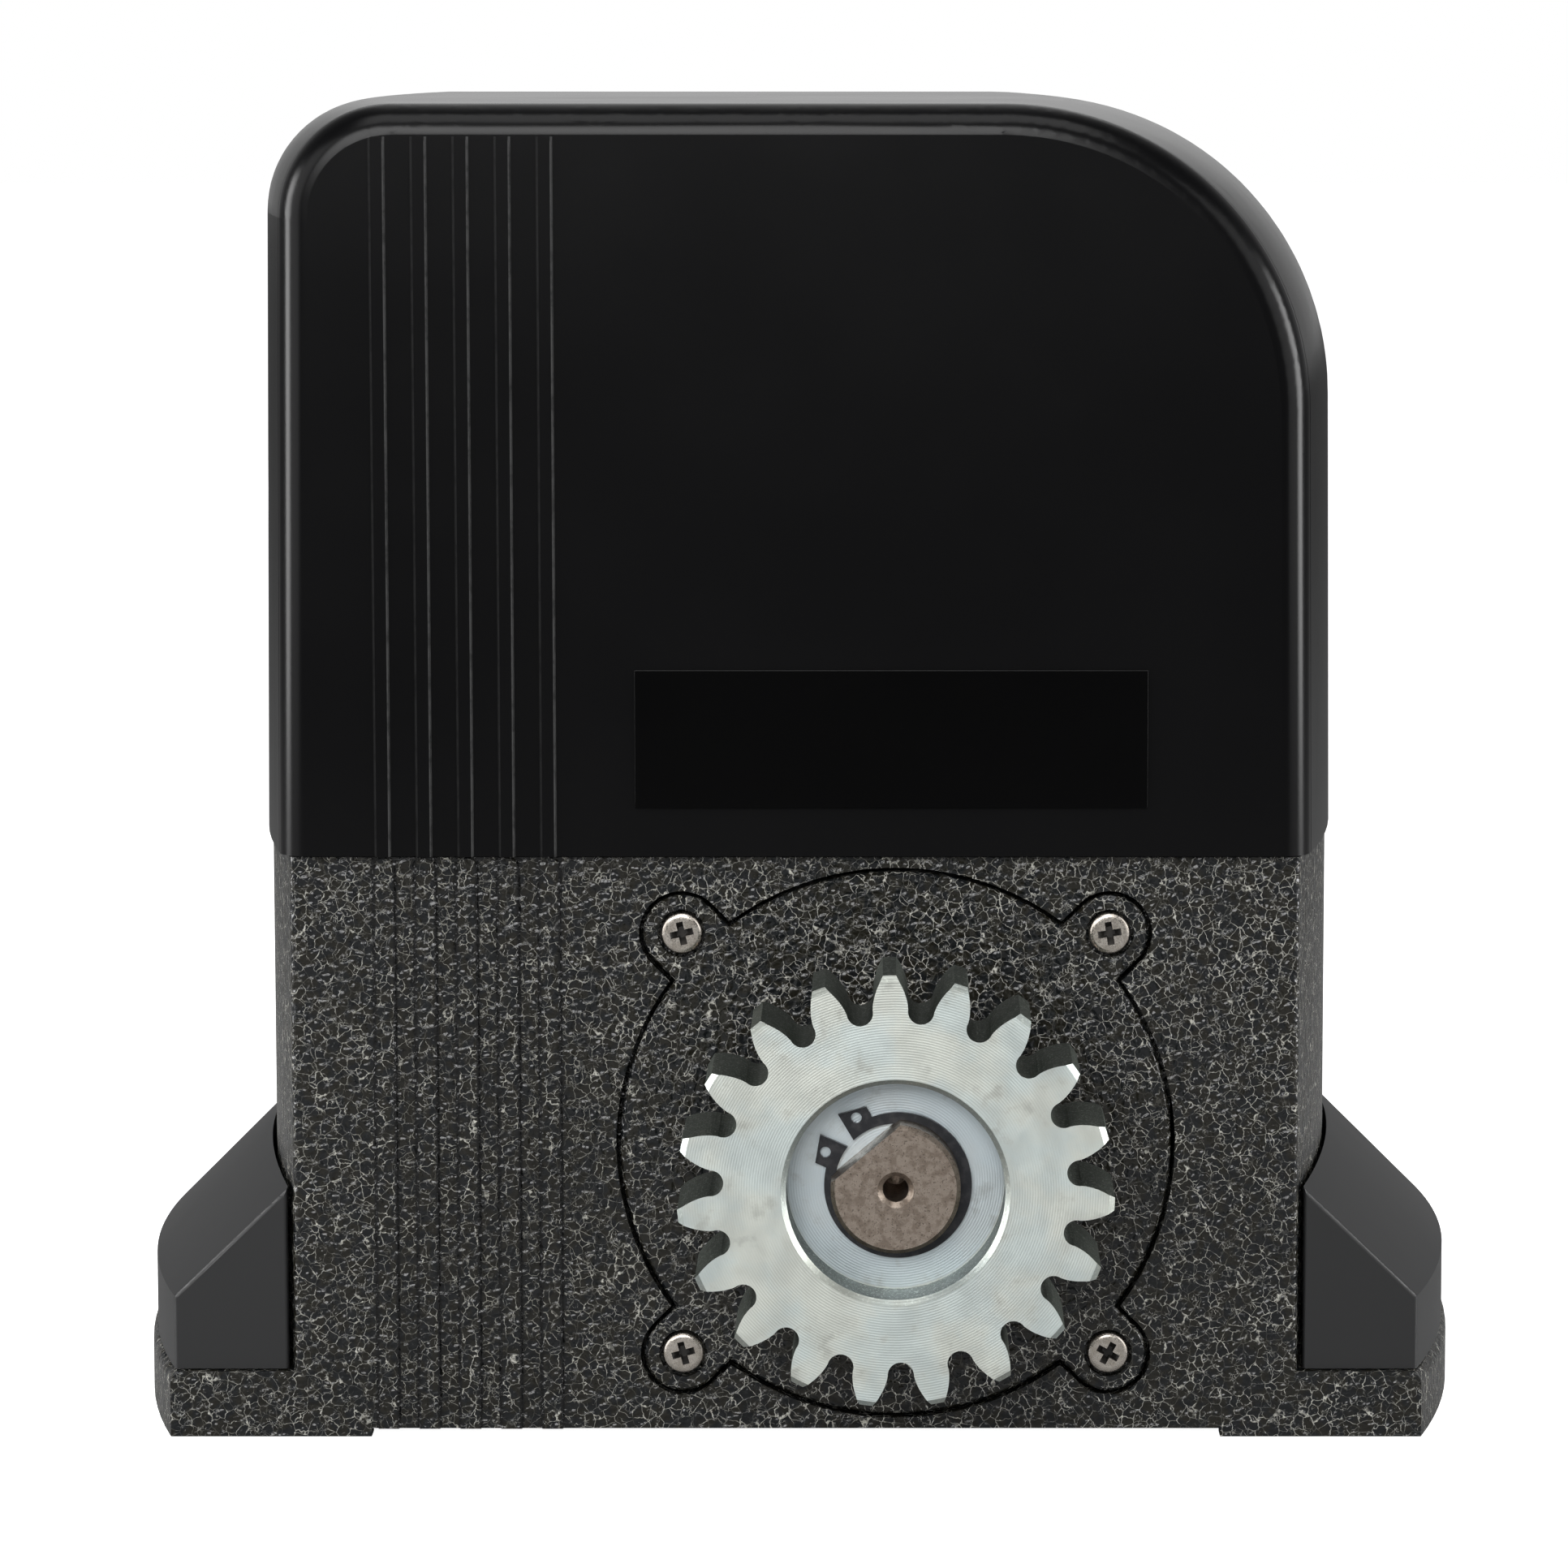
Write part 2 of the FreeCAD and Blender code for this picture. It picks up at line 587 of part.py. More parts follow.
    # Lever pocket with its hinge pin bore.
    cuts.append(lever_recess())
    cuts.append(rod(PIN_R + 0.02, Vector(LEVER_PIN_X, LEVER_PIN_Y, SHAFT_Z - LEVER_HEIGHT / 2 - 8),
                    Z_AXIS, LEVER_HEIGHT + 16))
    bosses = []
    for p in cover_screw_places():
        boss = rod(5.0, p + Vector(0, -LIP_WALL - 8, 0), Y_AXIS, LIP_WALL + 7)
        web = block(p.x - 5, p.x + 5, p.y - LIP_WALL - 8, p.y - 1, DECK_HEIGHT - 1, p.z)
        hole = rod(SCREW_R + 0.02, p + Vector(0, -LIP_WALL - 9, 0), Y_AXIS, LIP_WALL + 12)
        bosses.append(boss.fuse(web).cut(hole))
    return fuse_all([casting.cut(cuts)] + bosses)


def gear_side_flange():
    """Round bearing flange that closes the gear chamber."""
    plate = flange_outline(0, -HALF_DEPTH, FLANGE_THICKNESS)
    front_rim = [e for e in plate.Edges if e.BoundBox.YMax < -HALF_DEPTH + 0.01]
    plate = plate.makeChamfer(0.5, front_rim)
    boss = rod(SEAL_BOSS_R, along_output(SEAL_FRONT_Y), Y_AXIS, SEAL_BOSS_RISE + 1)
    spigot = rod(SPIGOT_R, along_output(FLANGE_BACK_Y - 1), Y_AXIS, SPIGOT_LENGTH + 1)
    body = fuse_all([plate, boss, spigot])
    cuts = [rod(OUTPUT_SEAL[1] + FIT, along_output(SEAL_FRONT_Y - 1), Y_AXIS, OUTPUT_SEAL[2] + 1)]
    cuts.append(rod(FRONT_BEARING[1] + FIT, along_output(FRONT_BEARING_Y), Y_AXIS, FRONT_BEARING[2] + 1))
    cuts.append(rod(FRONT_BEARING[0] + 4, along_output(SEAL_FRONT_Y), Y_AXIS,
                    FRONT_BEARING_Y - SEAL_FRONT_Y + 1))
    for p in ear_centres(-HALF_DEPTH - 1):
        cuts.append(rod(HEAD_POCKET_R, p, Y_AXIS, 1 + SCREW_HEAD_H))
        cuts.append(rod(SCREW_R + 0.3, p, Y_AXIS, FLANGE_THICKNESS + 2))
    return body.cut(cuts)


def flange_gasket():
    """Flat gasket between the flange and the casting."""
    sheet = flange_outline(0, FLANGE_BACK_Y, GASKET_THICKNESS)
    cuts = [rod(CHAMBER_R + 0.5, along_output(FLANGE_BACK_Y - 1), Y_AXIS, GASKET_THICKNESS + 2)]
    for p in ear_centres(FLANGE_BACK_Y - 1):
        cuts.append(rod(SCREW_R + 0.3, p, Y_AXIS, GASKET_THICKNESS + 2))
    return sheet.cut(cuts)


def pan_screw(at, axis, length):
    """A cross-recessed pan head screw whose head rests at a point."""
    head = rod(SCREW_HEAD_R, Vector(0, 0, -SCREW_HEAD_H), Z_AXIS, SCREW_HEAD_H)
    crown = [e for e in head.Edges if e.BoundBox.ZMax < -SCREW_HEAD_H + 0.01]
    head = head.makeFillet(0.8, crown)
    shank = rod(SCREW_R, Vector(0, 0, -0.5), Z_AXIS, length + 0.5)
    screw = head.fuse(shank)
    for turn in (0, 90):
        blade = block(-2.4, 2.4, -0.55, 0.55, -SCREW_HEAD_H - 1, -SCREW_HEAD_H + 1.7)
        blade.rotate(Vector(0, 0, 0), Z_AXIS, turn)
        screw = screw.cut(blade)
    screw.Placement = FreeCAD.Placement(at, Rotation(Z_AXIS, axis))
    return screw


def flange_screws():
    """Four screws that hold the flange."""
    seat = -HALF_DEPTH + SCREW_HEAD_H
    return compound([pan_screw(p, Y_AXIS, SCREW_LENGTH - SCREW_HEAD_H - 1) for p in ear_centres(seat)])


def cover_screws():
    """Two screws through the back of the cover."""
    y = COVER_PLAN.depth / 2
    screws = []
    for p in cover_screw_places():
        at = Vector(p.x, y + FIT, p.z)
        screws.append(pan_screw(at, Y_AXIS * -1, y - p.y + LIP_WALL + 6))
    return compound(screws)


def cover_seal():
    """Rubber strip round the foot of the lip."""
    outer = COVER_INNER.inset(0.1).prism(BODY_HEIGHT, BODY_HEIGHT + 2.5)
    return outer.cut(LIP_PLAN.prism(BODY_HEIGHT - 1, BODY_HEIGHT + 4))


# ------------------------------------------------------------------ covers
def cover_outline(half, top, draft, left_r, right_r, y, bottom):
    """The cover's front-view outline at depth y."""
    points = [Vector(-half, y, bottom), Vector(half, y, bottom),
              Vector(half - draft, y, top), Vector(-half + draft, y, top)]
    return rounded_outline(points, [0, 0, right_r, left_r])


def cover_form(plan, inset, bottom):
    """The cover's outer or inner form, lofted through its depth."""
    sections = []
    for share in (-1.0, -0.5, 0.0, 0.5, 1.0):
        y = share * plan.depth / 2
        sections.append(cover_outline(plan.side(y), COVER_TOP - inset, COVER_DRAFT,
                                      COVER_LEFT_R - inset, COVER_RIGHT_R - inset, y, bottom))
    return Part.makeLoft(sections, True, False)


def top_cover():
    """Moulded cover over the motor and the control board."""
    outer = cover_form(COVER_PLAN, 0, COVER_BOTTOM)
    ends = [e for e in outer.Edges if e.BoundBox.YLength < 0.5
            and abs(e.BoundBox.Center.y) > COVER_PLAN.depth / 2 - 1
            and e.BoundBox.ZMax > COVER_BOTTOM + 1]
    outer = outer.makeFillet(COVER_EDGE_R, ends)
    inner = cover_form(COVER_INNER, COVER_WALL, COVER_BOTTOM - 1)
    front = -COVER_PLAN.depth / 2
    groove_y = front + COVER_EDGE_R + 0.2
    half = COVER_PLAN.side(groove_y)
    band = Part.Face(cover_outline(half + 2, COVER_TOP + 2, COVER_DRAFT, COVER_LEFT_R + 2,
                                   COVER_RIGHT_R + 2, groove_y, COVER_BOTTOM - 1))
    core = Part.Face(cover_outline(half - PARTING_GROOVE, COVER_TOP - PARTING_GROOVE, COVER_DRAFT,
                                   COVER_LEFT_R, COVER_RIGHT_R, groove_y, COVER_BOTTOM - 2))
    sweep = Vector(0, PARTING_GROOVE, 0)
    groove = band.extrude(sweep).cut(core.extrude(sweep))
    cuts = [inner, groove]
    for p in cover_screw_places():
        y = COVER_PLAN.depth / 2
        cuts.append(rod(SCREW_R + 0.4, Vector(p.x, y - 10, p.z), Y_AXIS, 20))
        cuts.append(block(p.x - SCREW_R - 0.4, p.x + SCREW_R + 0.4, y - 10, y + 10,
                          COVER_BOTTOM - 2, p.z))
    top = COVER_TOP - RIB_TOP_MARGIN - RIB_COVER_W / 2
    ribs = [rib(x, RIB_COVER_W, front, COVER_BOTTOM, top) for x in rib_places()]
    return fuse_all([outer.cut(cuts)] + ribs)


def foot_cap(side):
    """Push-on cap over the anchor nuts: side is -1 for left, 1 for right."""
    base = FOOT_THICKNESS + CAP_SEAT_GAP

    def wedge(shell):
        r = CAP_PLAN.radius - shell
        low = base - (1 if shell else 0)
        top = CAP_SIDE_TOP - shell * (math.sqrt(2) - 1)
        run = CAP_RIB_RUN
        centre = Vector(CAP_PLAN.centre, 0, 0)
        half = math.degrees(math.asin((CAP_PLAN.depth / 2 + 2) / (r - run)))
        profile = Part.makePolygon([Vector(r, 0, low), Vector(r, 0, top), Vector(r - run, 0, top + run),
                                    Vector(r - run, 0, low), Vector(r, 0, low)])
        profile.translate(centre)
        face = Part.Face(profile)
        face.rotate(centre, Z_AXIS, -half)
        solid = face.revolve(centre, Z_AXIS, 2 * half)
        d = CAP_PLAN.depth / 2 - shell
        return solid.common(block(0, 200, -d, d, 0, 100))

    wall = BODY_PLAN.inset(-CAP_GAP).prism(0, BODY_HEIGHT)
    outer = wedge(0).cut(wall)
    d = CAP_PLAN.depth / 2
    rims = [e for e in outer.Edges if abs(abs(e.BoundBox.Center.y) - d) < 0.01
            and e.BoundBox.YLength < 0.01 and e.BoundBox.ZLength > 5]
    outer = outer.makeFillet(0.8, rims)
    cap = outer.cut(wedge(CAP_WALL))
    if side < 0:
        cap = cap.mirror(Vector(0, 0, 0), X_AXIS)
    return cap


# ------------------------------------------------------------- output train
def involute(base_r, radius):
    """Polar angle swept by the involute between the base circle and a radius."""
    ratio = max(radius / base_r, 1.0)
    unroll = math.sqrt(ratio * ratio - 1)
    return math.degrees(unroll - math.atan(unroll))


def gear_outline(module, teeth, phase, backlash, root_factor):
    """Closed spur gear outline in the XZ plane with one tooth at phase."""
    pitch_r = module * teeth / 2
    base_r = pitch_r * math.cos(math.radians(20))
    root_r = pitch_r - root_factor * module
    tip_r = pitch_r + module
    half_pitch = 90.0 / teeth - math.degrees(backlash / (2 * pitch_r))
    start_r = max(base_r, root_r + 0.1 * module)
    radii = [start_r + (tip_r - start_r) * share for share in (0.0, 0.35, 0.7, 1.0)]
    edges = []
    step = 360.0 / teeth
    for k in range(teeth):
        mid = phase + k * step
        spread = [half_pitch + involute(base_r, pitch_r) - involute(base_r, r) for r in radii]
        rising = [polar(r, mid - s) for r, s in zip(radii, spread)]
        falling = [polar(r, mid + s) for r, s in zip(reversed(radii), reversed(spread))]
        edges.append(flank(rising))
        edges.append(Part.Arc(rising[-1], polar(tip_r, mid), falling[0]).toShape())
        edges.append(flank(falling))
        next_foot = polar(start_r, mid + step - spread[0])
        gullet = Part.Arc(falling[-1], polar(root_r, mid + step / 2), next_foot)
        edges.append(gullet.toShape())
    return Part.Wire(edges)


def flank(points):
    """A smooth tooth flank through points."""
    curve = Part.BSplineCurve()
    curve.interpolate(points)
    return curve.toShape()


def half_plane(reach, offset, direction, y0, y1):
    """A block beyond a flat at an offset from the output axis."""
    cutter = block(offset, offset + reach, y0, y1, -reach, reach)
    cutter.rotate(Vector(0, 0, 0), Y_AXIS, -direction)
    cutter.translate(Vector(SHAFT_X, 0, SHAFT_Z))
    return cutter


def drive_gear():
    """Rack pinion with chamfered tips and a counterbored face."""
    wire = gear_outline(GEAR_MODULE, GEAR_TEETH, GEAR_PHASE, 0.2, 1.25)
    wire.translate(along_output(GEAR_FRONT_Y))
    blank = Part.Face(wire).extrude(Vector(0, GEAR_WIDTH, 0))
    tip = GEAR_MODULE * (GEAR_TEETH / 2 + 1)
    c = GEAR_TIP_CHAMFER
    profile = Part.makePolygon([Vector(0, 0, 0), Vector(tip + 0.2 - c, 0, 0), Vector(tip + 0.2, c, 0),
                                Vector(tip + 0.2, GEAR_WIDTH - c, 0),
                                Vector(tip + 0.2 - c, GEAR_WIDTH, 0), Vector(0, GEAR_WIDTH, 0),
                                Vector(0, 0, 0)])
    turned = Part.Face(profile).revolve(Vector(0, 0, 0), Y_AXIS, 360)
    turned.translate(along_output(GEAR_FRONT_Y))
    gear = blank.common(turned)
    bore = rod(SHAFT_NOSE_R + FIT, along_output(GEAR_FRONT_Y - 1), Y_AXIS, GEAR_WIDTH + 2)
    bore = bore.cut(half_plane(40, SHAFT_FLAT + FIT, SHAFT_FLAT_DIR, GEAR_FRONT_Y - 2, GEAR_BACK_Y + 2))
    recess = rod(GEAR_RECESS_R, along_output(GEAR_FRONT_Y - 1), Y_AXIS, GEAR_RECESS_DEPTH + 1)
    mouth = Part.makeCone(GEAR_RECESS_R + 1, GEAR_RECESS_R, 1, along_output(GEAR_FRONT_Y), Y_AXIS)
    return gear.cut([bore, recess, mouth])


def output_shaft():
    """Stepped output shaft with a driving flat, dog flats and a pin slot."""
    steps = [(SHAFT_NOSE_R, NOSE_END_Y, GEAR_BACK_Y),
             (SHAFT_R, GEAR_BACK_Y, SPIGOT_END_Y),
             (SHAFT_MID_R, SPIGOT_END_Y, HUB_FRONT_Y),
             (WHEEL_SEAT_R, HUB_FRONT_Y, REAR_BEARING_Y),
             (SHAFT_TAIL_R, REAR_BEARING_Y, REAR_BEARING_Y + REAR_BEARING[2] + 4)]
    shaft = fuse_all([rod(r, along_output(a), Y_AXIS, b - a) for r, a, b in steps])
    nose = [e for e in shaft.Edges if e.BoundBox.YMax < NOSE_END_Y + 0.01]
    shaft = shaft.makeChamfer(0.8, nose)
    cuts = [half_plane(40, SHAFT_FLAT, SHAFT_FLAT_DIR, NOSE_END_Y - 1, GEAR_BACK_Y)]
    for turn in (0, 180):
        cuts.append(half_plane(30, SHAFT_DOG_FLAT, turn, SPIGOT_END_Y + 6, HUB_FRONT_Y))
    groove_y = RECESS_FLOOR_Y - RING_THICKNESS - 0.05
    cuts.append(ring(SHAFT_NOSE_R - RING_GROOVE - FIT, SHAFT_NOSE_R + 1, along_output(groove_y), Y_AXIS,
                     RING_THICKNESS + 0.1))
    tail_groove = REAR_BEARING_Y + REAR_BEARING[2] + 0.3
    cuts.append(ring(SHAFT_TAIL_R - 0.8, SHAFT_TAIL_R + 1, along_output(tail_groove), Y_AXIS, 1.3))
    cuts.append(rod(NOSE_THREAD_R, along_output(NOSE_END_Y - 1), Y_AXIS, NOSE_THREAD_DEPTH + 1))
    cuts.append(Part.makeCone(NOSE_THREAD_R + NOSE_COUNTERSINK, NOSE_THREAD_R, NOSE_COUNTERSINK,
                              along_output(NOSE_END_Y), Y_AXIS))
    bore_start = CROSS_PIN_Y - CLUTCH_TRAVEL - PIN_R - 1
    cuts.append(rod(ROD_R + 0.2, along_output(bore_start), Y_AXIS, 80))
    cuts.append(block(SHAFT_X - PIN_R - 0.1, SHAFT_X + PIN_R + 0.1, bore_start, CROSS_PIN_Y + PIN_R + 0.3,
                      SHAFT_Z - 20, SHAFT_Z + 20))
    return shaft.cut(cuts)


def ring_lug(groove_r, angle):
    """A drilled lug with a slanted outer end, at an angle from the opening."""
    tip, half = groove_r + RING_LUG, RING_LUG_HALF
    inner = groove_r - 0.5
    points = [Vector(-inner, 0, -half), Vector(-tip + RING_LUG_SLANT, 0, -half),
              Vector(-tip, 0, half), Vector(-inner, 0, half), Vector(-inner, 0, -half)]
    if angle > 0:
        points = [Vector(p.x, p.y, -p.z) for p in points]
    lug = Part.Face(Part.makePolygon(points)).extrude(Vector(0, RING_THICKNESS, 0))
    hole = rod(RING_HOLE_R, Vector(-groove_r - RING_LUG * 0.58, -1, 0), Y_AXIS, RING_THICKNESS + 2)
    lug = lug.cut(hole)
    lug.rotate(Vector(0, 0, 0), Y_AXIS, angle)
    return lug


def gear_retaining_ring():
    """Ring that keeps the gear on the shaft nose, widest opposite its opening."""
    groove_r = SHAFT_NOSE_R - RING_GROOVE
    centre = Vector(RING_OFFSET, 0, 0)
    body = rod(groove_r + RING_BAND, centre, Y_AXIS, RING_THICKNESS)
    reach = SHAFT_NOSE_R + RING_LUG
    corners = [Vector(0, -1, 0), polar(reach, 180 - RING_OPEN_HALF) + Vector(0, -1, 0),
               polar(reach, 180 + RING_OPEN_HALF) + Vector(0, -1, 0), Vector(0, -1, 0)]
    wedge = Part.Face(Part.makePolygon(corners)).extrude(Vector(0, RING_THICKNESS + 2, 0))
    lugs = [ring_lug(groove_r, s * RING_LUG_ANGLE) for s in (-1, 1)]
    bore = rod(groove_r, Vector(0, -1, 0), Y_AXIS, RING_THICKNESS + 2)
    body = fuse_all([body.cut(wedge)] + lugs).cut(bore)
    body.rotate(Vector(0, 0, 0), Y_AXIS, 180 - RING_OPEN_DIR)
    body.translate(along_output(RECESS_FLOOR_Y - RING_THICKNESS))
    return body


def tail_retaining_ring():
    """Ring that keeps the rear bearing on the shaft."""
    y = REAR_BEARING_Y + REAR_BEARING[2] + 0.35
    return output_ring(SHAFT_TAIL_R - 0.75, SHAFT_TAIL_R + 1.6, y, 1.2)


def dogs(y0, y1, phase, share):
    """A ring of dog teeth on the output axis."""
    teeth = []
    step = 360.0 / DOG_COUNT
    start = along_output(y0)
    for k in range(DOG_COUNT):
        sector = Part.makeCylinder(DOG_OUTER_R, y1 - y0, start, Y_AXIS, step * share)
        sector.rotate(start, Y_AXIS, phase + k * step)
        teeth.append(sector.cut(rod(DOG_INNER_R, start, Y_AXIS, y1 - y0)))
    return teeth


def worm_wheel():
    """Bronze wheel that turns on the shaft, driven by the worm."""
    lead_angle = math.atan(WORM_PITCH / (2 * math.pi * WORM_PITCH_R))
    sections = []
    for share in (-0.5, 0.5):
        wire = gear_outline(WORM_MODULE, WHEEL_TEETH, 180 + 180.0 / WHEEL_TEETH, BACKLASH, 1.2)
        twist = math.degrees(share * WHEEL_WIDTH * math.tan(lead_angle) / WHEEL_R)
        wire.rotate(Vector(0, 0, 0), Y_AXIS, twist)
        wire.translate(along_output(WHEEL_Y + share * WHEEL_WIDTH))
        sections.append(wire)
    rim = Part.makeLoft(sections, True, True)
    hub = rod(DOG_OUTER_R + 1, along_output(HUB_FRONT_Y), Y_AXIS, HUB_REAR_Y - HUB_FRONT_Y)
    wheel = fuse_all([rim, hub] + dogs(HUB_FRONT_Y - DOG_HEIGHT + 0.3, HUB_FRONT_Y + 0.5, 0, 0.46))
    return wheel.cut(rod(WHEEL_SEAT_R + FIT, along_output(-100), Y_AXIS, 200))


def clutch_collar():
    """Sliding collar whose dogs lock the wheel to the shaft."""
    body = rod(DOG_OUTER_R, along_output(COLLAR_FRONT_Y), Y_AXIS, COLLAR_WIDTH)
    collar = fuse_all([body] + dogs(COLLAR_REAR_Y - 0.5, COLLAR_REAR_Y + DOG_HEIGHT - 0.3, 45, 0.46))
    bore = rod(SHAFT_MID_R + FIT, along_output(COLLAR_FRONT_Y - 1), Y_AXIS, COLLAR_WIDTH + 8)
    for turn in (0, 180):
        bore = bore.cut(half_plane(30, SHAFT_DOG_FLAT + FIT, turn, COLLAR_FRONT_Y - 2, HUB_FRONT_Y + 2))
    pin = rod(PIN_R + 0.02, Vector(SHAFT_X, CROSS_PIN_Y, SHAFT_Z - 30), Z_AXIS, 60)
    return collar.cut([bore, pin])


def clutch_cross_pin():
    """Pin that joins the collar to the push rod through the shaft slot."""
    half = DOG_OUTER_R - 1
    pin = rod(PIN_R, Vector(SHAFT_X, CROSS_PIN_Y, SHAFT_Z - half), Z_AXIS, 2 * half)
    return pin.makeChamfer(0.4, [e for e in pin.Edges if e.BoundBox.ZLength < 0.01])


def push_rod():
    """Rod inside the shaft, pushed forward by the lever's cam."""
    start = CROSS_PIN_Y + PIN_R + 0.02
    bar = rod(ROD_R, along_output(start), Y_AXIS, ROD_END_Y - start)
    tip = [e for e in bar.Edges if e.BoundBox.YMin > ROD_END_Y - 0.01]
    return bar.makeFillet(0.6, tip)


def clutch_spring():
    """Turns of the square-wire spring that keeps the collar engaged."""
    room = COLLAR_FRONT_Y - SPRING_FRONT_Y - 2 * FIT
    inner = SHAFT_MID_R + SPRING_GAP
    turns = []
    for k in range(SPRING_TURNS):
        y = SPRING_FRONT_Y + FIT + k * (room - SPRING_WIRE) / (SPRING_TURNS - 1)
        turns.append(output_ring(inner, inner + SPRING_WIRE, y, SPRING_WIRE))
    return compound(turns)


def thrust_washer():
    """Washer between the wheel hub and the spacer."""
    return output_ring(WHEEL_SEAT_R + FIT, DOG_OUTER_R, HUB_REAR_Y, 2.0)


def wheel_spacer():
    """Sleeve from the thrust washer to the rear bearing."""
    start = HUB_REAR_Y + 2.0
    return output_ring(WHEEL_SEAT_R + FIT, WHEEL_SEAT_R + 3, start, REAR_BEARING_Y - start)


def output_oil_seal():
    """Lip seal in the flange boss."""
    r_in, r_out, width = OUTPUT_SEAL
    seal = output_ring(r_in + FIT, r_out, SEAL_FRONT_Y, width)
    trough = output_ring(r_in + 2, r_out - 2, SEAL_FRONT_Y - 1, 2.2)
    return seal.cut(trough)


# ----------------------------------------------------------------- bearings
def races(size, start, axis):
    """Outer ring, inner ring and balls of a bearing: two shapes."""
    bore, outer, width = size
    wall = (outer - bore) * 0.27
    mid = (bore + outer) / 2
    ball = (outer - bore) * 0.27
    centre = start + axis * (width / 2)
    channel = Part.makeTorus(mid, ball + 0.05, centre, axis)
    inner = ring(bore, bore + wall, start, axis, width).cut(channel)
    outer_ring = ring(outer - wall, outer, start, axis, width).cut(channel)
    return outer_ring, inner


def output_bearing_races():
    """Both bearings of the output shaft."""
    front = races(FRONT_BEARING, along_output(FRONT_BEARING_Y), Y_AXIS)
    rear = races(REAR_BEARING, along_output(REAR_BEARING_Y), Y_AXIS)
    return compound([front[0], rear[0]]), compound([front[1], rear[1]])


def rotor_bearing_races():
    """The three bearings of the worm and rotor shaft."""
    sets = [races(WORM_BEARING, along_motor(WORM_BEARING_Z), Z_AXIS),
            races(MOTOR_BEARING, along_motor(MOTOR_BEARING_Z), Z_AXIS),
            races(TOP_BEARING, along_motor(TOP_BEARING_Z), Z_AXIS)]
    return compound([s[0] for s in sets]), compound([s[1] for s in sets])


def worm_oil_seal():
    """Lip seal that keeps the gear oil out of the motor."""
    r_in, r_out, width = WORM_SEAL
    return motor_ring(r_in + FIT, r_out, WORM_SEAL_Z, width)


# -------------------------------------------------------------------- motor
def worm_shaft():
    """Motor shaft with the worm cut on its lower end."""
    low = SHAFT_Z - WORM_LENGTH / 2
    high = SHAFT_Z + WORM_LENGTH / 2
    steps = [(WORM_BEARING[0], WORM_BEARING_Z - 2, low - 3),
             (WORM_ROOT_R, low - 3, high + 3),
             (MOTOR_BEARING[0], high + 3, TOP_BEARING_Z),
             (TOP_BEARING[0], TOP_BEARING_Z, TOP_BEARING_Z + TOP_BEARING[2])]
    core = fuse_all([rod(r, along_motor(a), Z_AXIS, b - a) for r, a, b in steps])
    start = SHAFT_Z - WORM_PITCH * math.ceil(WORM_LENGTH / WORM_PITCH / 2)
    length = 2 * (SHAFT_Z - start)
    helix = Part.makeHelix(WORM_PITCH, length, WORM_PITCH_R)
    helix.translate(along_motor(start))
    tan = math.tan(math.radians(20))
    half = WORM_PITCH / 4 - BACKLASH / 2
    tip = WORM_MODULE
    dip = 1.25 * WORM_MODULE + 0.3
    x = WORM_X + WORM_PITCH_R
    profile = Part.makePolygon([Vector(x + tip, MOTOR_Y, start + half - tip * tan),
                                Vector(x - dip, MOTOR_Y, start + half + dip * tan),
                                Vector(x - dip, MOTOR_Y, start - half - dip * tan),
                                Vector(x + tip, MOTOR_Y, start - half + tip * tan),
                                Vector(x + tip, MOTOR_Y, start + half - tip * tan)])
    thread = Part.Wire(helix).makePipeShell([profile], True, True)
    thread = thread.common(rod(WORM_TIP_R + 2, along_motor(low), Z_AXIS, WORM_LENGTH))
    return core.fuse(thread)


def rotor_core():
    """Laminated rotor with cast end rings."""
    r = STATOR_BORE - AIR_GAP
    stack = motor_ring(MOTOR_BEARING[0], r, STACK_Z, STACK_HEIGHT)
    low = motor_ring(MOTOR_BEARING[0] + 8, r - 2, STACK_Z - 5, 5)
    high = motor_ring(MOTOR_BEARING[0] + 8, r - 2, STACK_TOP_Z, 5)
    return fuse_all([stack, low, high])


def bolt_holes(body, z, length):
    """Clearance holes for the long motor bolts."""
    return body.cut([rod(THROUGH_BOLT_R + 0.15, p, Z_AXIS, length) for p in through_bolt_centres(z)])


def motor_lower_endbell():
    """Lower motor end shield, seated on the deck."""
    bell = rod(STATOR_R, along_motor(DECK_HEIGHT), Z_AXIS, ENDBELL_LOW)
    room = rod(STATOR_R - ENDBELL_WALL, along_motor(DECK_HEIGHT + 4), Z_AXIS, ENDBELL_LOW)
    seat = rod(MOTOR_BEARING[1] + 3.5, along_motor(DECK_HEIGHT), Z_AXIS,
               MOTOR_BEARING_Z + MOTOR_BEARING[2] - DECK_HEIGHT)
    posts = [rod(ENDBELL_WALL, p, Z_AXIS, ENDBELL_LOW) for p in through_bolt_centres(DECK_HEIGHT)]
    keep = rod(STATOR_R, along_motor(DECK_HEIGHT), Z_AXIS, ENDBELL_LOW)
    bell = fuse_all([bell.cut(room), seat] + posts).common(keep)
    bell = bell.cut([rod(MOTOR_BEARING[1] + FIT, along_motor(MOTOR_BEARING_Z), Z_AXIS, 40),
                     rod(MOTOR_BEARING[0] + 2, along_motor(DECK_HEIGHT - 1), Z_AXIS, 10)])
    return bolt_holes(bell, DECK_HEIGHT - 1, 60)


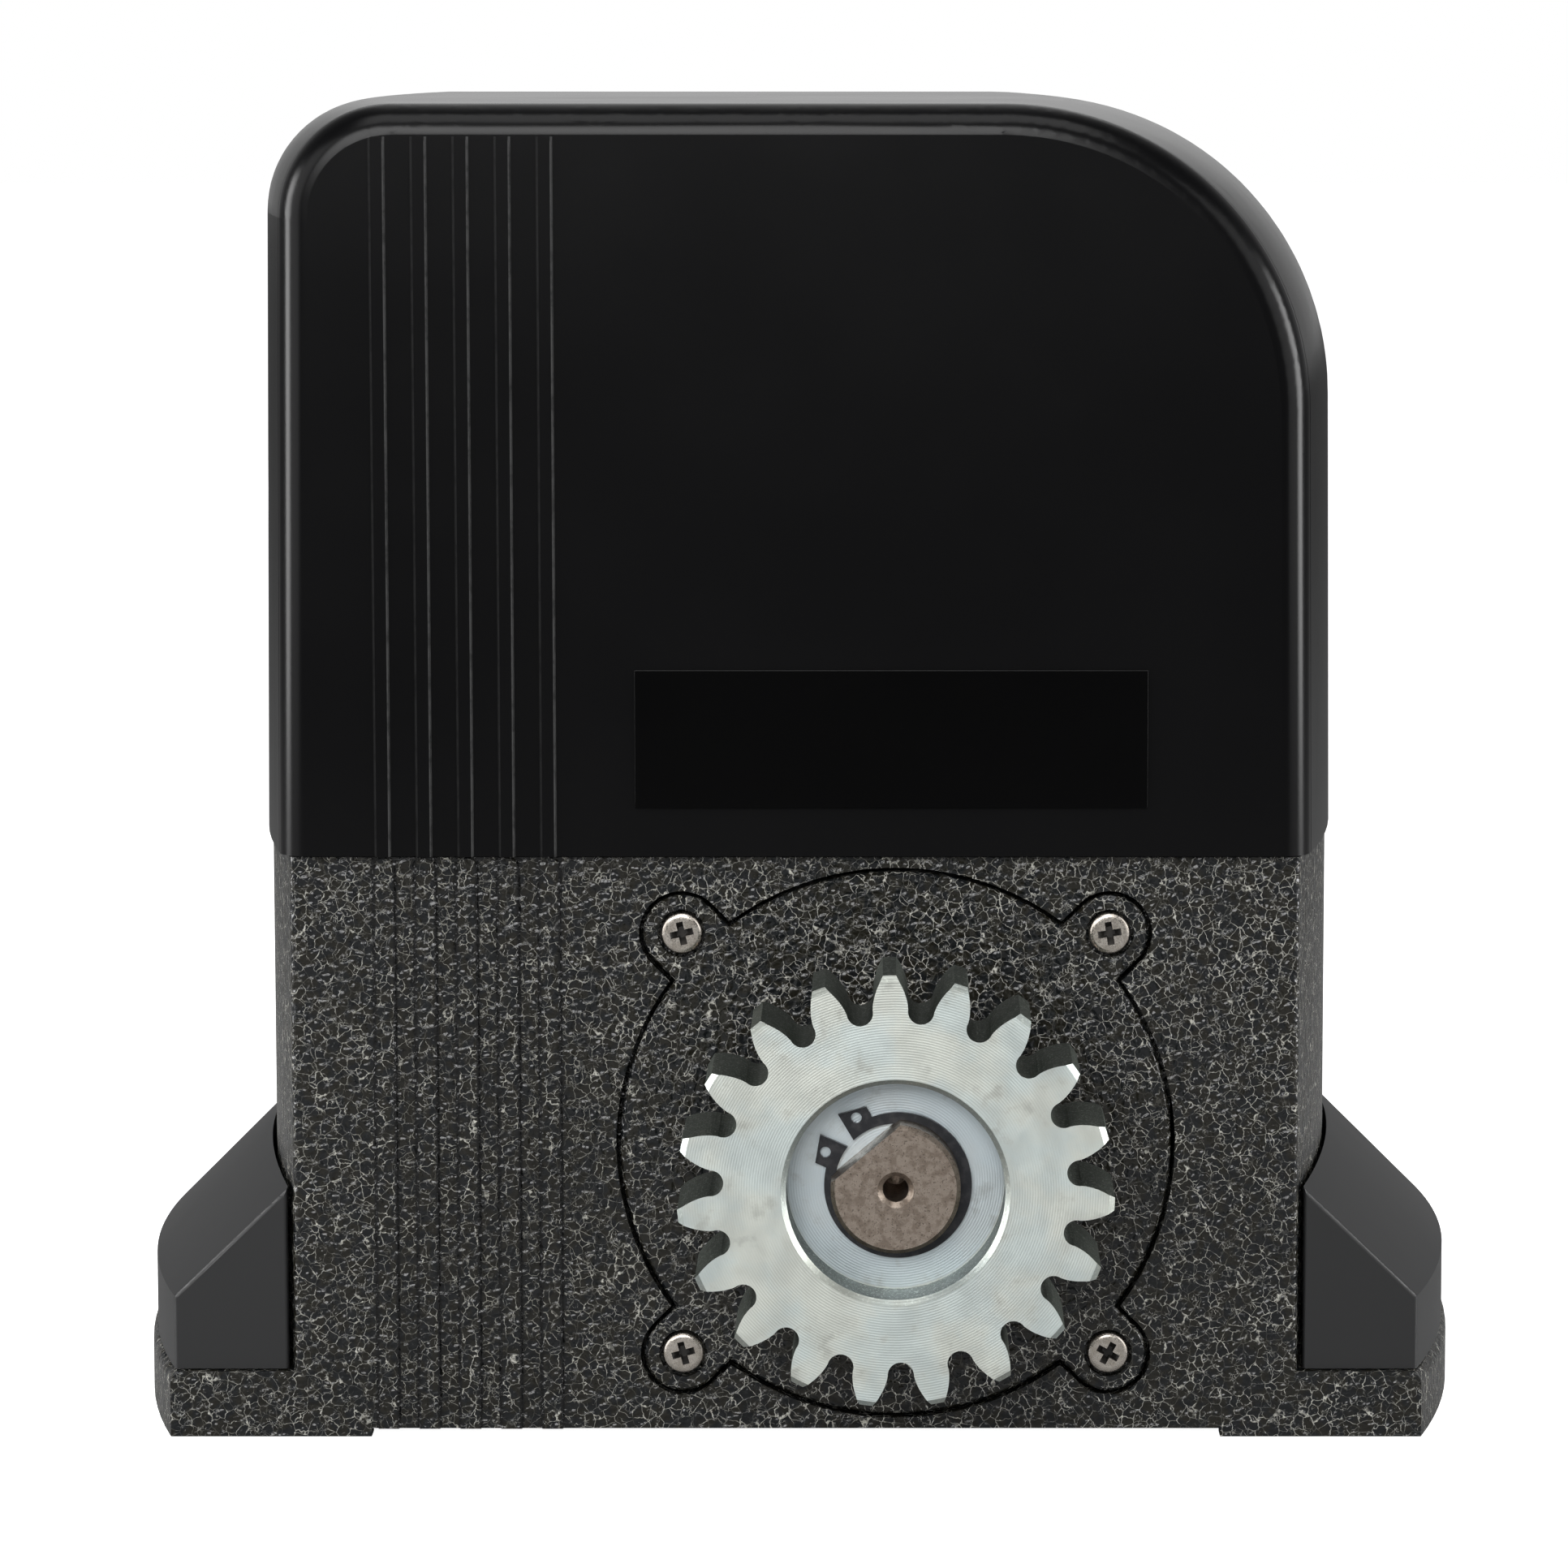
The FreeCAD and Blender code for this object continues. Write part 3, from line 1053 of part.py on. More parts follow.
def motor_upper_endbell():
    """Upper motor end shield with vent windows."""
    bell = rod(STATOR_R, along_motor(STACK_TOP_Z), Z_AXIS, ENDBELL_TOP)
    crown = [e for e in bell.Edges if e.BoundBox.ZMin > MOTOR_TOP_Z - 0.01]
    bell = bell.makeFillet(4.0, crown)
    room = rod(STATOR_R - ENDBELL_WALL, along_motor(STACK_TOP_Z - 1), Z_AXIS, ENDBELL_TOP - 3.5)
    seat = rod(TOP_BEARING[1] + 3.5, along_motor(TOP_BEARING_Z), Z_AXIS, MOTOR_TOP_Z - TOP_BEARING_Z)
    posts = [rod(ENDBELL_WALL, p, Z_AXIS, ENDBELL_TOP - 2) for p in through_bolt_centres(STACK_TOP_Z)]
    keep = rod(STATOR_R, along_motor(STACK_TOP_Z), Z_AXIS, ENDBELL_TOP)
    bell = fuse_all([bell.cut(room), seat] + posts).common(keep)
    bell = bell.cut(rod(TOP_BEARING[1] + FIT, along_motor(TOP_BEARING_Z - 1), Z_AXIS, TOP_BEARING[2] + 1.1))
    bell = bell.cut([rod(HEAD_POCKET_R, p, Z_AXIS, 9) for p in through_bolt_centres(MOTOR_TOP_Z - BOLT_HEAD_SINK)])
    return bolt_holes(bell, STACK_TOP_Z - 1, 60)


def stator_core():
    """Laminated stator ring with flats between the bolts."""
    core = motor_ring(STATOR_BORE, STATOR_R - 0.4, STACK_Z, STACK_HEIGHT)
    slots = []
    for k in range(STATOR_SLOTS):
        tooth = block(STATOR_BORE + 3, STATOR_R - 12, -3, 3, STACK_Z - 1, STACK_TOP_Z + 1)
        tooth.rotate(Vector(0, 0, 0), Z_AXIS, 360.0 / STATOR_SLOTS * k)
        tooth.translate(along_motor(0))
        slots.append(tooth)
    return bolt_holes(core.cut(slots), STACK_Z - 1, STACK_HEIGHT + 2)


def stator_windings():
    """Copper coil ends above and below the stack."""
    coils = []
    for z, height in ((STACK_Z - COIL_LOW_H, COIL_LOW_H), (STACK_TOP_Z, COIL_TOP_H)):
        coil = motor_ring(STATOR_BORE + 1.5, STATOR_R - 8, z, height)
        coils.append(coil.makeChamfer(COIL_EDGE, [e for e in coil.Edges if e.BoundBox.ZLength < 0.01]))
    return compound(coils)


def motor_through_bolts():
    """Four long bolts that clamp the motor to the deck."""
    bolts = []
    for p in through_bolt_centres(DECK_HEIGHT - 7):
        shank = rod(THROUGH_BOLT_R, p, Z_AXIS, MOTOR_TOP_Z - DECK_HEIGHT + 7)
        top = Vector(p.x, p.y, MOTOR_TOP_Z - BOLT_HEAD_SINK)
        head = hexagon(BOLT_HEAD_ACROSS, top, BOLT_HEAD_H)
        bolts.append(shank.fuse(head))
    return compound(bolts)


def hexagon(across, at, height):
    """A hexagonal prism standing on a point."""
    r = across / math.sqrt(3)
    points = [at + Vector(r * math.cos(math.radians(60 * k)), r * math.sin(math.radians(60 * k)), 0)
              for k in range(7)]
    return Part.Face(Part.makePolygon(points)).extrude(Vector(0, 0, height))


# --------------------------------------------------------------- electrics
def run_capacitor():
    """Motor run capacitor standing on the deck."""
    can = rod(CAPACITOR_R, Vector(CAPACITOR_X, CAPACITOR_Y, DECK_HEIGHT), Z_AXIS, CAPACITOR_H)
    can = can.makeFillet(2.0, [e for e in can.Edges if e.BoundBox.ZLength < 0.01])
    top = DECK_HEIGHT + CAPACITOR_H
    tabs = []
    for s in (-1, 1):
        x = CAPACITOR_X + s * TAB_SPREAD
        tabs.append(block(x - TAB_HALF, x + TAB_HALF, CAPACITOR_Y - TAB_T / 2, CAPACITOR_Y + TAB_T / 2,
                          top - 1, top + TAB_H))
    return fuse_all([can] + tabs)


def capacitor_clamp():
    """Band that holds the capacitor, with a foot screwed to the deck."""
    centre = Vector(CAPACITOR_X, CAPACITOR_Y, DECK_HEIGHT + CLAMP_RISE)
    band = ring(CAPACITOR_R + FIT, CAPACITOR_R + CLAMP_T, centre, Z_AXIS, CLAMP_BAND)
    x0, x1 = CAPACITOR_X - CLAMP_HALF, CAPACITOR_X + CLAMP_HALF
    back = CAPACITOR_Y + CAPACITOR_R + CLAMP_T - 0.5
    leg = block(x0, x1, back, back + CLAMP_T, DECK_HEIGHT, DECK_HEIGHT + CLAMP_RISE + CLAMP_BAND)
    foot = block(x0, x1, back, back + CLAMP_FOOT, DECK_HEIGHT, DECK_HEIGHT + CLAMP_T)
    return fuse_all([band, leg, foot])


def board_screw_places():
    """The four board fixing points."""
    reach_x = BOARD_W / 2 - BOARD_HOLE_INSET
    reach_z = BOARD_H / 2 - BOARD_HOLE_INSET
    return [Vector(BOARD_X + sx * reach_x, BOARD_Y, BOARD_Z + BOARD_H / 2 + sz * reach_z)
            for sx in (-1, 1) for sz in (-1, 1)]


def board_bracket():
    """Moulded tray that holds the control board upright."""
    x0, x1 = BOARD_X - BOARD_W / 2, BOARD_X + BOARD_W / 2
    front = BOARD_Y - BOARD_STANDOFF
    plate = block(x0, x1, front, front + TRAY_PLATE, DECK_HEIGHT, BOARD_Z + BOARD_H)
    foot = block(x0, x1, front, front + TRAY_FOOT_DEPTH, DECK_HEIGHT, DECK_HEIGHT + TRAY_FOOT_H)
    gussets = [block(x, x + TRAY_PLATE, front, front + TRAY_FOOT_DEPTH - 2, DECK_HEIGHT,
                     DECK_HEIGHT + TRAY_GUSSET_H) for x in (x0, BOARD_X, x1 - TRAY_PLATE)]
    posts = [rod(4.0, Vector(p.x, front, p.z), Y_AXIS, BOARD_STANDOFF) for p in board_screw_places()]
    holes = [rod(BOARD_SCREW_R + 0.02, Vector(p.x, front + 0.5, p.z), Y_AXIS, TRAY_FOOT_DEPTH)
             for p in board_screw_places()]
    return fuse_all([plate, foot] + gussets + posts).cut(holes)


def control_board():
    """Printed circuit board."""
    x0 = BOARD_X - BOARD_W / 2
    board = block(x0, x0 + BOARD_W, BOARD_Y, BOARD_Y + BOARD_T, BOARD_Z, BOARD_Z + BOARD_H)
    return board.cut([rod(BOARD_SCREW_R + 0.2, p + Vector(0, -1, 0), Y_AXIS, BOARD_T + 2)
                      for p in board_screw_places()])


def board_screws():
    """Small screws through the corners of the board."""
    screws = []
    grip = BOARD_STANDOFF - 1
    for p in board_screw_places():
        shank = rod(BOARD_SCREW_R, p + Vector(0, -grip, 0), Y_AXIS, grip + BOARD_T)
        head = rod(BOARD_SCREW_HEAD_R, p + Vector(0, BOARD_T, 0), Y_AXIS, BOARD_SCREW_HEAD_H)
        screws.append(shank.fuse(head))
    return compound(screws)


def on_board(x, z, width, height, depth, start=0.0):
    """A box on the board: x and z from the board's lower left corner."""
    x0 = BOARD_X - BOARD_W / 2 + x
    y0 = BOARD_Y + BOARD_T + start
    return block(x0, x0 + width, y0, y0 + depth, BOARD_Z + z, BOARD_Z + z + height)


def board_transformer():
    """Mains transformer: laminated core with its bobbin."""
    core = on_board(TRANSFORMER_X, TRANSFORMER_Z, TRANSFORMER_W, TRANSFORMER_H, TRANSFORMER_CORE)
    bobbin = on_board(TRANSFORMER_X + BOBBIN_MARGIN, TRANSFORMER_Z + BOBBIN_MARGIN - 2,
                      TRANSFORMER_W - 2 * BOBBIN_MARGIN, TRANSFORMER_H - 2 * BOBBIN_MARGIN + 4,
                      TRANSFORMER_DEPTH)
    return fuse_all([core, bobbin])


def board_relays():
    """Motor and light relays, as many as fit right of the transformer."""
    step = RELAY_W + RELAY_GAP
    room = BOARD_W - RELAY_RIGHT - TRANSFORMER_X - TRANSFORMER_W - RELAY_GAP
    count = int(room / step)
    return compound([on_board(BOARD_W - RELAY_RIGHT - RELAY_W - step * k, RELAY_Z, RELAY_W, RELAY_H,
                              RELAY_DEPTH) for k in range(count)])


def terminal_blocks():
    """Row of screw terminals along the lower edge."""
    width = TERMINAL_WAYS * TERMINAL_PITCH
    step = width + TERMINAL_GAP
    count = int((BOARD_W - 2 * TERMINAL_EDGE + TERMINAL_GAP) / step)
    first = (BOARD_W - count * step + TERMINAL_GAP) / 2
    rim = (TERMINAL_PITCH - TERMINAL_MOUTH) / 2
    blocks = []
    for k in range(count):
        x = first + k * step
        body = on_board(x, TERMINAL_Z, width, TERMINAL_H, TERMINAL_DEPTH)
        mouths = [on_board(x + rim + TERMINAL_PITCH * w, TERMINAL_Z + rim, TERMINAL_MOUTH,
                           TERMINAL_H / 2, TERMINAL_MOUTH_DEPTH + 1, TERMINAL_DEPTH - TERMINAL_MOUTH_DEPTH)
                  for w in range(TERMINAL_WAYS)]
        blocks.append(body.cut(mouths))
    return compound(blocks)


def board_fuse():
    """Mains fuse in its holder."""
    holder = on_board(FUSE_X, FUSE_Z, FUSE_LENGTH, FUSE_H, FUSE_BASE)
    start = Vector(BOARD_X - BOARD_W / 2 + FUSE_X + 1, BOARD_Y + BOARD_T + FUSE_BASE + 2,
                   BOARD_Z + FUSE_Z + FUSE_H / 2)
    return holder.fuse(rod(FUSE_GLASS_R, start, X_AXIS, FUSE_LENGTH - 2))


def radio_receiver():
    """Plug-in radio receiver module."""
    return on_board(BOARD_W - RADIO_RIGHT, RADIO_Z, RADIO_T, RADIO_H, RADIO_DEPTH)


def limit_sensor():
    """Magnetic limit sensor behind the front wall of the cover."""
    body = block(SENSOR_X, SENSOR_X + SENSOR_W, SENSOR_Y, SENSOR_Y + SENSOR_T,
                 DECK_HEIGHT + SENSOR_LOW, DECK_HEIGHT + SENSOR_TOP)
    edges = [e for e in body.Edges if e.BoundBox.YLength > SENSOR_T / 2]
    return body.makeFillet(2.0, edges)


def sensor_bracket():
    """Bent plate that carries the limit sensor."""
    y = SENSOR_Y + SENSOR_T
    x0 = SENSOR_X + SENSOR_PLATE_INSET
    x1 = SENSOR_X + SENSOR_W - SENSOR_PLATE_INSET
    up = block(x0, x1, y, y + SENSOR_PLATE, DECK_HEIGHT, DECK_HEIGHT + SENSOR_TOP - 2)
    foot = block(x0, x1, y, y + SENSOR_FOOT, DECK_HEIGHT, DECK_HEIGHT + SENSOR_PLATE)
    return up.fuse(foot).removeSplitter()


def cable_grommet():
    """Rubber grommet in the cable entry of the deck."""
    deck = Vector(ENTRY_X, ENTRY_Y, DECK_HEIGHT)
    bore = ENTRY_R - GROMMET_WALL
    throat = ring(bore, ENTRY_R, deck - Vector(0, 0, GROMMET_THROAT), Z_AXIS, GROMMET_THROAT)
    brim = ring(bore, ENTRY_R + GROMMET_BRIM, deck, Z_AXIS, GROMMET_WALL)
    return fuse_all([throat, brim])


def oil_plug():
    """Oil filler plug of the gear chamber."""
    head = hexagon(OIL_PLUG_ACROSS, OIL_PLUG_AT, OIL_PLUG_HEAD)
    stem = rod(OIL_PLUG_STEM_R, OIL_PLUG_AT - Vector(0, 0, OIL_PLUG_STEM), Z_AXIS, OIL_PLUG_STEM)
    return head.fuse(stem)


def earth_terminal():
    """Earthing screw with its square washer."""
    half = EARTH_WASHER / 2
    top = EARTH_WASHER_T + EARTH_HEAD_H
    washer = block(-half, half, -half, half, 0, EARTH_WASHER_T)
    stem = rod(EARTH_STEM_R, Vector(0, 0, -EARTH_STEM), Z_AXIS, EARTH_STEM + EARTH_WASHER_T)
    head = rod(EARTH_HEAD_R, Vector(0, 0, EARTH_WASHER_T), Z_AXIS, EARTH_HEAD_H)
    slot_cut = block(-half, half, -0.6, 0.6, top - 1.2, top + 1)
    screw = fuse_all([washer, stem, head]).cut(slot_cut)
    screw.translate(EARTH_AT)
    return screw


# ----------------------------------------------------------- release lever
def cam_profile():
    """Cam whose reach grows evenly with the lever's angle."""
    points = []
    for step in range(-1, 12):
        a = math.radians(270 + 9.0 * step)
        reach = CAM_BASE + CAM_RATE * math.radians(9.0 * step)
        points.append(Vector(reach * math.cos(a) - CAM_RATE * math.sin(a),
                             reach * math.sin(a) + CAM_RATE * math.cos(a), 0))
    curve = Part.BSplineCurve()
    curve.interpolate(points)
    centre = Vector(0, 0, 0)
    edges = [Part.LineSegment(centre, points[0]).toShape(), curve.toShape(),
             Part.LineSegment(points[-1], centre).toShape()]
    return Part.Face(Part.Wire(edges))


def release_lever():
    """Hinged lever in the back face with a cam on its pin end."""
    height = LEVER_HEIGHT
    cam = cam_profile().extrude(Vector(0, 0, 12))
    cam.translate(Vector(0, 0, -6))
    hub = rod(CAM_BASE - 0.3, Vector(0, 0, -height / 2), Z_AXIS, height)
    arm = block(-LEVER_LENGTH, 0, 1.0, 1.0 + LEVER_THICKNESS, -height / 2, height / 2)
    arm = arm.makeFillet(1.5, [e for e in arm.Edges if e.BoundBox.XMax < -LEVER_LENGTH + 0.01
                               and e.BoundBox.ZLength < 0.01 or e.BoundBox.YMin > LEVER_THICKNESS])
    lever = fuse_all([arm, hub, cam])
    scoop = Part.makeCylinder(9, height - 10, Vector(-LEVER_LENGTH - 3, 1.0, -height / 2 + 5), Z_AXIS)
    bore = rod(PIN_R + FIT, Vector(0, 0, -height), Z_AXIS, 2 * height)
    barrel = rod(LOCK_R + FIT, Vector(-LOCK_OFFSET, -2, 0), Y_AXIS, 20)
    lever = lever.cut([scoop, bore, barrel])
    lever.translate(Vector(LEVER_PIN_X, LEVER_PIN_Y, SHAFT_Z))
    return lever


def lever_pin():
    """Upright hinge pin of the lever, held in the casting."""
    half = LEVER_HEIGHT / 2 + 7
    return rod(PIN_R, Vector(LEVER_PIN_X, LEVER_PIN_Y, SHAFT_Z - half), Z_AXIS, 2 * half)


def lock_cylinder():
    """Key barrel in the lever with the bolt that locks it shut."""
    x = LEVER_PIN_X - LOCK_OFFSET
    floor = LEVER_PIN_Y - 0.5
    face = LEVER_PIN_Y + 1.0 + LEVER_THICKNESS
    barrel = rod(LOCK_R, Vector(x, floor + 0.4, SHAFT_Z), Y_AXIS, face - floor - 0.4)
    stem = rod(3.0, Vector(x, floor - 5.0, SHAFT_Z), Y_AXIS, 6.0)
    bolt = block(x - 8, x + 8, floor - 5.5, floor - 3.1, SHAFT_Z - 3, SHAFT_Z + 3)
    keyway = block(x - 4, x + 4, face - 5, face + 1, SHAFT_Z - 0.8, SHAFT_Z + 0.8)
    return fuse_all([barrel, stem, bolt]).cut(keyway)


def main():
    """Write every node."""
    os.makedirs("parts", exist_ok=True)
    output_outer, output_inner = output_bearing_races()
    rotor_outer, rotor_inner = rotor_bearing_races()
    nodes = {
        "lower_housing": lower_housing(), "gear_side_flange": gear_side_flange(),
        "flange_gasket": flange_gasket(), "flange_screws": flange_screws(),
        "output_oil_seal": output_oil_seal(), "output_bearing_outer_rings": output_outer,
        "output_bearing_inner_rings": output_inner, "output_shaft": output_shaft(),
        "drive_gear": drive_gear(), "gear_retaining_ring": gear_retaining_ring(),
        "tail_retaining_ring": tail_retaining_ring(), "worm_wheel": worm_wheel(),
        "thrust_washer": thrust_washer(), "wheel_spacer": wheel_spacer(),
        "clutch_collar": clutch_collar(), "clutch_cross_pin": clutch_cross_pin(),
        "push_rod": push_rod(), "clutch_spring": clutch_spring(),
        "worm_shaft": worm_shaft(), "rotor_core": rotor_core(),
        "rotor_bearing_outer_rings": rotor_outer, "rotor_bearing_inner_rings": rotor_inner,
        "worm_oil_seal": worm_oil_seal(), "motor_lower_endbell": motor_lower_endbell(),
        "motor_upper_endbell": motor_upper_endbell(), "stator_core": stator_core(),
        "stator_windings": stator_windings(), "motor_through_bolts": motor_through_bolts(),
        "run_capacitor": run_capacitor(), "capacitor_clamp": capacitor_clamp(),
        "board_bracket": board_bracket(), "control_board": control_board(),
        "board_screws": board_screws(), "board_transformer": board_transformer(),
        "board_relays": board_relays(), "terminal_blocks": terminal_blocks(),
        "board_fuse": board_fuse(), "radio_receiver": radio_receiver(),
        "limit_sensor": limit_sensor(), "sensor_bracket": sensor_bracket(),
        "cable_grommet": cable_grommet(), "oil_plug": oil_plug(),
        "earth_terminal": earth_terminal(), "cover_seal": cover_seal(),
        "top_cover": top_cover(), "cover_screws": cover_screws(),
        "left_foot_cap": foot_cap(-1), "right_foot_cap": foot_cap(1),
        "release_lever": release_lever(), "lever_pin": lever_pin(),
        "lock_cylinder": lock_cylinder(),
    }
    for name, shape in nodes.items():
        save(name, shape)
        print(name, len(shape.Solids), round(shape.Volume), shape.isValid())


main()
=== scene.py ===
# %% [markdown]
# # Sliding gate motor
# A cast gearbox stands on four anchor studs beside a gate. Its gear drives the
# rack on the gate, and a plastic cover keeps the motor and its board dry.
# This lesson dresses the finished solid model: each step says what a piece or
# finish is on the real machine, and then makes it. Everything is in metres,
# in the solid model's own frame, so each piece goes where the solids say.

# %% Load the frame
import json
import math

import bmesh
import bpy
from mathutils import Matrix, Vector


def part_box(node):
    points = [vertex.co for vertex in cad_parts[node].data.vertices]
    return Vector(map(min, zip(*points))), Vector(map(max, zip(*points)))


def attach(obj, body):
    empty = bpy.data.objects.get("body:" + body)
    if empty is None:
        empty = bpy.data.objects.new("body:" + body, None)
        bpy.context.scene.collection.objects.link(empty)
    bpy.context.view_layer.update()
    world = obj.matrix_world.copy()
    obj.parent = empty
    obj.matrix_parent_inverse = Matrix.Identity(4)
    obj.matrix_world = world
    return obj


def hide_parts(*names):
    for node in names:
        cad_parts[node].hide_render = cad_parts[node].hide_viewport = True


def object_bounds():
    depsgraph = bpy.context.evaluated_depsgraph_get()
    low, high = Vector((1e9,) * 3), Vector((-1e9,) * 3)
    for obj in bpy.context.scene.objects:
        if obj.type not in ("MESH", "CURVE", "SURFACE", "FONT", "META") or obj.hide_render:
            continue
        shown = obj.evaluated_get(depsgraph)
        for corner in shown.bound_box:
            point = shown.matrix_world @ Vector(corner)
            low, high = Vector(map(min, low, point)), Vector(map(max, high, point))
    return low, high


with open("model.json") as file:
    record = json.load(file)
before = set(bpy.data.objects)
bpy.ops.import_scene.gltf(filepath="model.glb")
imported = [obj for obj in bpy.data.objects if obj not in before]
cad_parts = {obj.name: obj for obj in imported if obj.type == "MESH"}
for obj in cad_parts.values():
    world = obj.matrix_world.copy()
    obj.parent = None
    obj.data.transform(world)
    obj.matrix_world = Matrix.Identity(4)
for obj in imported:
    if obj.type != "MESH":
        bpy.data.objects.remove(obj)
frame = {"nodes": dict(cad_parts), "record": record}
NODES = frame["nodes"]
MM = 0.001
cad_low, cad_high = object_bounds()

# %% [markdown]
# ## Camera
# A wide lens close by would make the upright edges lean. So a long lens
# stands a good metre away, a little right of the middle and above the cover.
# It looks down a few degrees, and a strip of the top and both outer walls
# come into view. The lens shift brings the machine back to the middle.
# Turning the camera would do that too, but it would tilt the edges again.

# %% Camera
body_low, body_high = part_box("lower_housing")
FRONT_Y = body_low.y
CAMERA_RIGHT = 20.0 * MM
CAMERA_HEIGHT = 286.0 * MM
CAMERA_DISTANCE = 1.150
CAMERA_TILT = math.radians(6.4)
camera_data = bpy.data.cameras.new("studio_camera")
camera_data.lens = 134.6
camera_data.sensor_width = 36.0
camera_data.shift_x = -0.0712
camera_data.shift_y = -0.0788
camera = bpy.data.objects.new("studio_camera", camera_data)
bpy.context.scene.collection.objects.link(camera)
camera.location = (CAMERA_RIGHT, FRONT_Y - CAMERA_DISTANCE, CAMERA_HEIGHT)
camera.rotation_euler = (math.pi / 2 - CAMERA_TILT, 0.0, 0.0)
bpy.context.scene.camera = camera
bpy.context.scene.view_settings.view_transform = "Standard"
print("camera at", tuple(round(v, 3) for v in camera.location))

# %% [markdown]
# ## Floor
# The machine stands on plain white paper. A backdrop could stand behind it,
# but then the bend between the two has to be hidden. One flat sheet, wide
# enough to be both, does without. It ends a short way in front of the
# machine, so the black cover has no bright paper to mirror there.


# %% Floor
def flat_sheet(name, half, front, height):
    """A wide sheet, facing up, that ends this far in front."""
    mesh = bpy.data.meshes.new(name)
    corners = [(-half, -front), (half, -front), (half, half), (-half, half)]
    mesh.from_pydata([(x, y, height) for x, y in corners], [], [(0, 1, 2, 3)])
    sheet = bpy.data.objects.new(name, mesh)
    bpy.context.scene.collection.objects.link(sheet)
    return sheet


floor = flat_sheet("studio_floor", half=8.0, front=0.8, height=cad_low.z - 0.2 * MM)
print("floor at", round(floor.data.vertices[0].co.z, 4))

# %% [markdown]
# ## Room
# Black plastic shows what stands around it more than its own colour. So the
# room is dim in front, which keeps the flat front black, and bright behind,
# which draws a line along each rounded edge. Towards the sides it fades, or
# the outer walls would turn grey. A picture of a studio could do this too,
# but a function of direction is small, sharp and easy to change. The camera
# itself sees plain white.


# %% World
BACK_LIGHT = 0.8
FRONT_LIGHT = 0.05
OUTER_SHARE = 0.34
world = bpy.data.worlds.new("studio_room")
bpy.context.scene.world = world
world.use_nodes = True
room = world.node_tree


def room_step(value, low, high, out_low, out_high):
    """A smooth step between two amounts of light."""
    node = room.nodes.new("ShaderNodeMapRange")
    node.interpolation_type = "SMOOTHSTEP"
    room.links.new(value, node.inputs["Value"])
    node.inputs["From Min"].default_value = low
    node.inputs["From Max"].default_value = high
    node.inputs["To Min"].default_value = out_low
    node.inputs["To Max"].default_value = out_high
    return node.outputs[0]


def room_math(operation, *values):
    node = room.nodes.new("ShaderNodeMath")
    node.operation = operation
    for value, socket in zip(values, node.inputs):
        room.links.new(value, socket)
    return node.outputs[0]


direction = room.nodes.new("ShaderNodeTexCoord")
split = room.nodes.new("ShaderNodeSeparateXYZ")
room.links.new(direction.outputs["Generated"], split.inputs[0])
towards_back = room_step(split.outputs["Y"], -0.15, 0.60, FRONT_LIGHT, BACK_LIGHT)
sideways = room_math("ABSOLUTE", split.outputs["X"])
narrow = room_step(sideways, 0.08, 0.34, 1.0, OUTER_SHARE)
behind = room_math("MULTIPLY", towards_back, narrow)
rays = room.nodes.new("ShaderNodeLightPath")
strength = room_math("MAXIMUM", behind, rays.outputs["Is Camera Ray"])
room_light = room.nodes["Background"]
room_light.inputs["Color"].default_value = (1.0, 1.0, 1.0, 1.0)
room.links.new(strength, room_light.inputs["Strength"])
print("room from", FRONT_LIGHT, "in front to", BACK_LIGHT, "behind")

# %% [markdown]
# ## Lamps
# A bare bulb makes hard bright dots on metal. A softbox is a wide lamp with
# a cloth front, and its highlights have soft edges. Two stand left and
# right, one above, and the key lamp high in front brings out the gear's
# face and the paint. Two upright strips beside the machine light its outer
# walls and the slopes of the foot caps.


# %% Lamps
def softbox(name, place, width, height, watts):
    """A soft panel that faces the middle of the machine."""
    lamp = bpy.data.lights.new(name, "AREA")
    lamp.shape = "RECTANGLE"
    lamp.size = width
    lamp.size_y = height
    lamp.energy = watts
    panel = bpy.data.objects.new(name, lamp)
    bpy.context.scene.collection.objects.link(panel)
    middle = (cad_low + cad_high) / 2
    panel.location = place
    panel.rotation_euler = (middle - Vector(place)).to_track_quat("-Z", "Y").to_euler()
    panel.visible_camera = False
    return panel


softbox("left_panel", (-1.15, -0.95, 0.55), width=0.8, height=1.2, watts=6.0)
softbox("right_panel", (1.15, -0.95, 0.55), width=0.8, height=1.2, watts=5.0)
softbox("key_panel", (-0.25, -1.55, 0.75), width=0.9, height=0.6, watts=15.0)
softbox("top_panel", (0.0, -0.60, 1.30), width=1.0, height=0.7, watts=6.0)
for side, place in (("left_strip", -1.30), ("right_strip", 1.30)):
    softbox(side, (place, FRONT_Y - 0.10, 0.25), width=0.45, height=0.9, watts=18.0)

# %% [markdown]
# ## A small kit for finishes
# Every finish here is one Principled shader with a few textures in object
# coordinates, in metres. It could all be wired by hand in the shader editor.
# A small class does it with less, and every finish stays easy to compare:
# each method adds one node and gives back its output. Five low upright ribs
# run up the front of casting and cover, and painted_rib_lines finds lines beside
# them from the position alone, where painted shade and painted highlight go.


# %% Finish kit
RIB_COUNT = 5
RIB_PITCH = 8.2 * MM
RIB_FIRST = -81.5 * MM


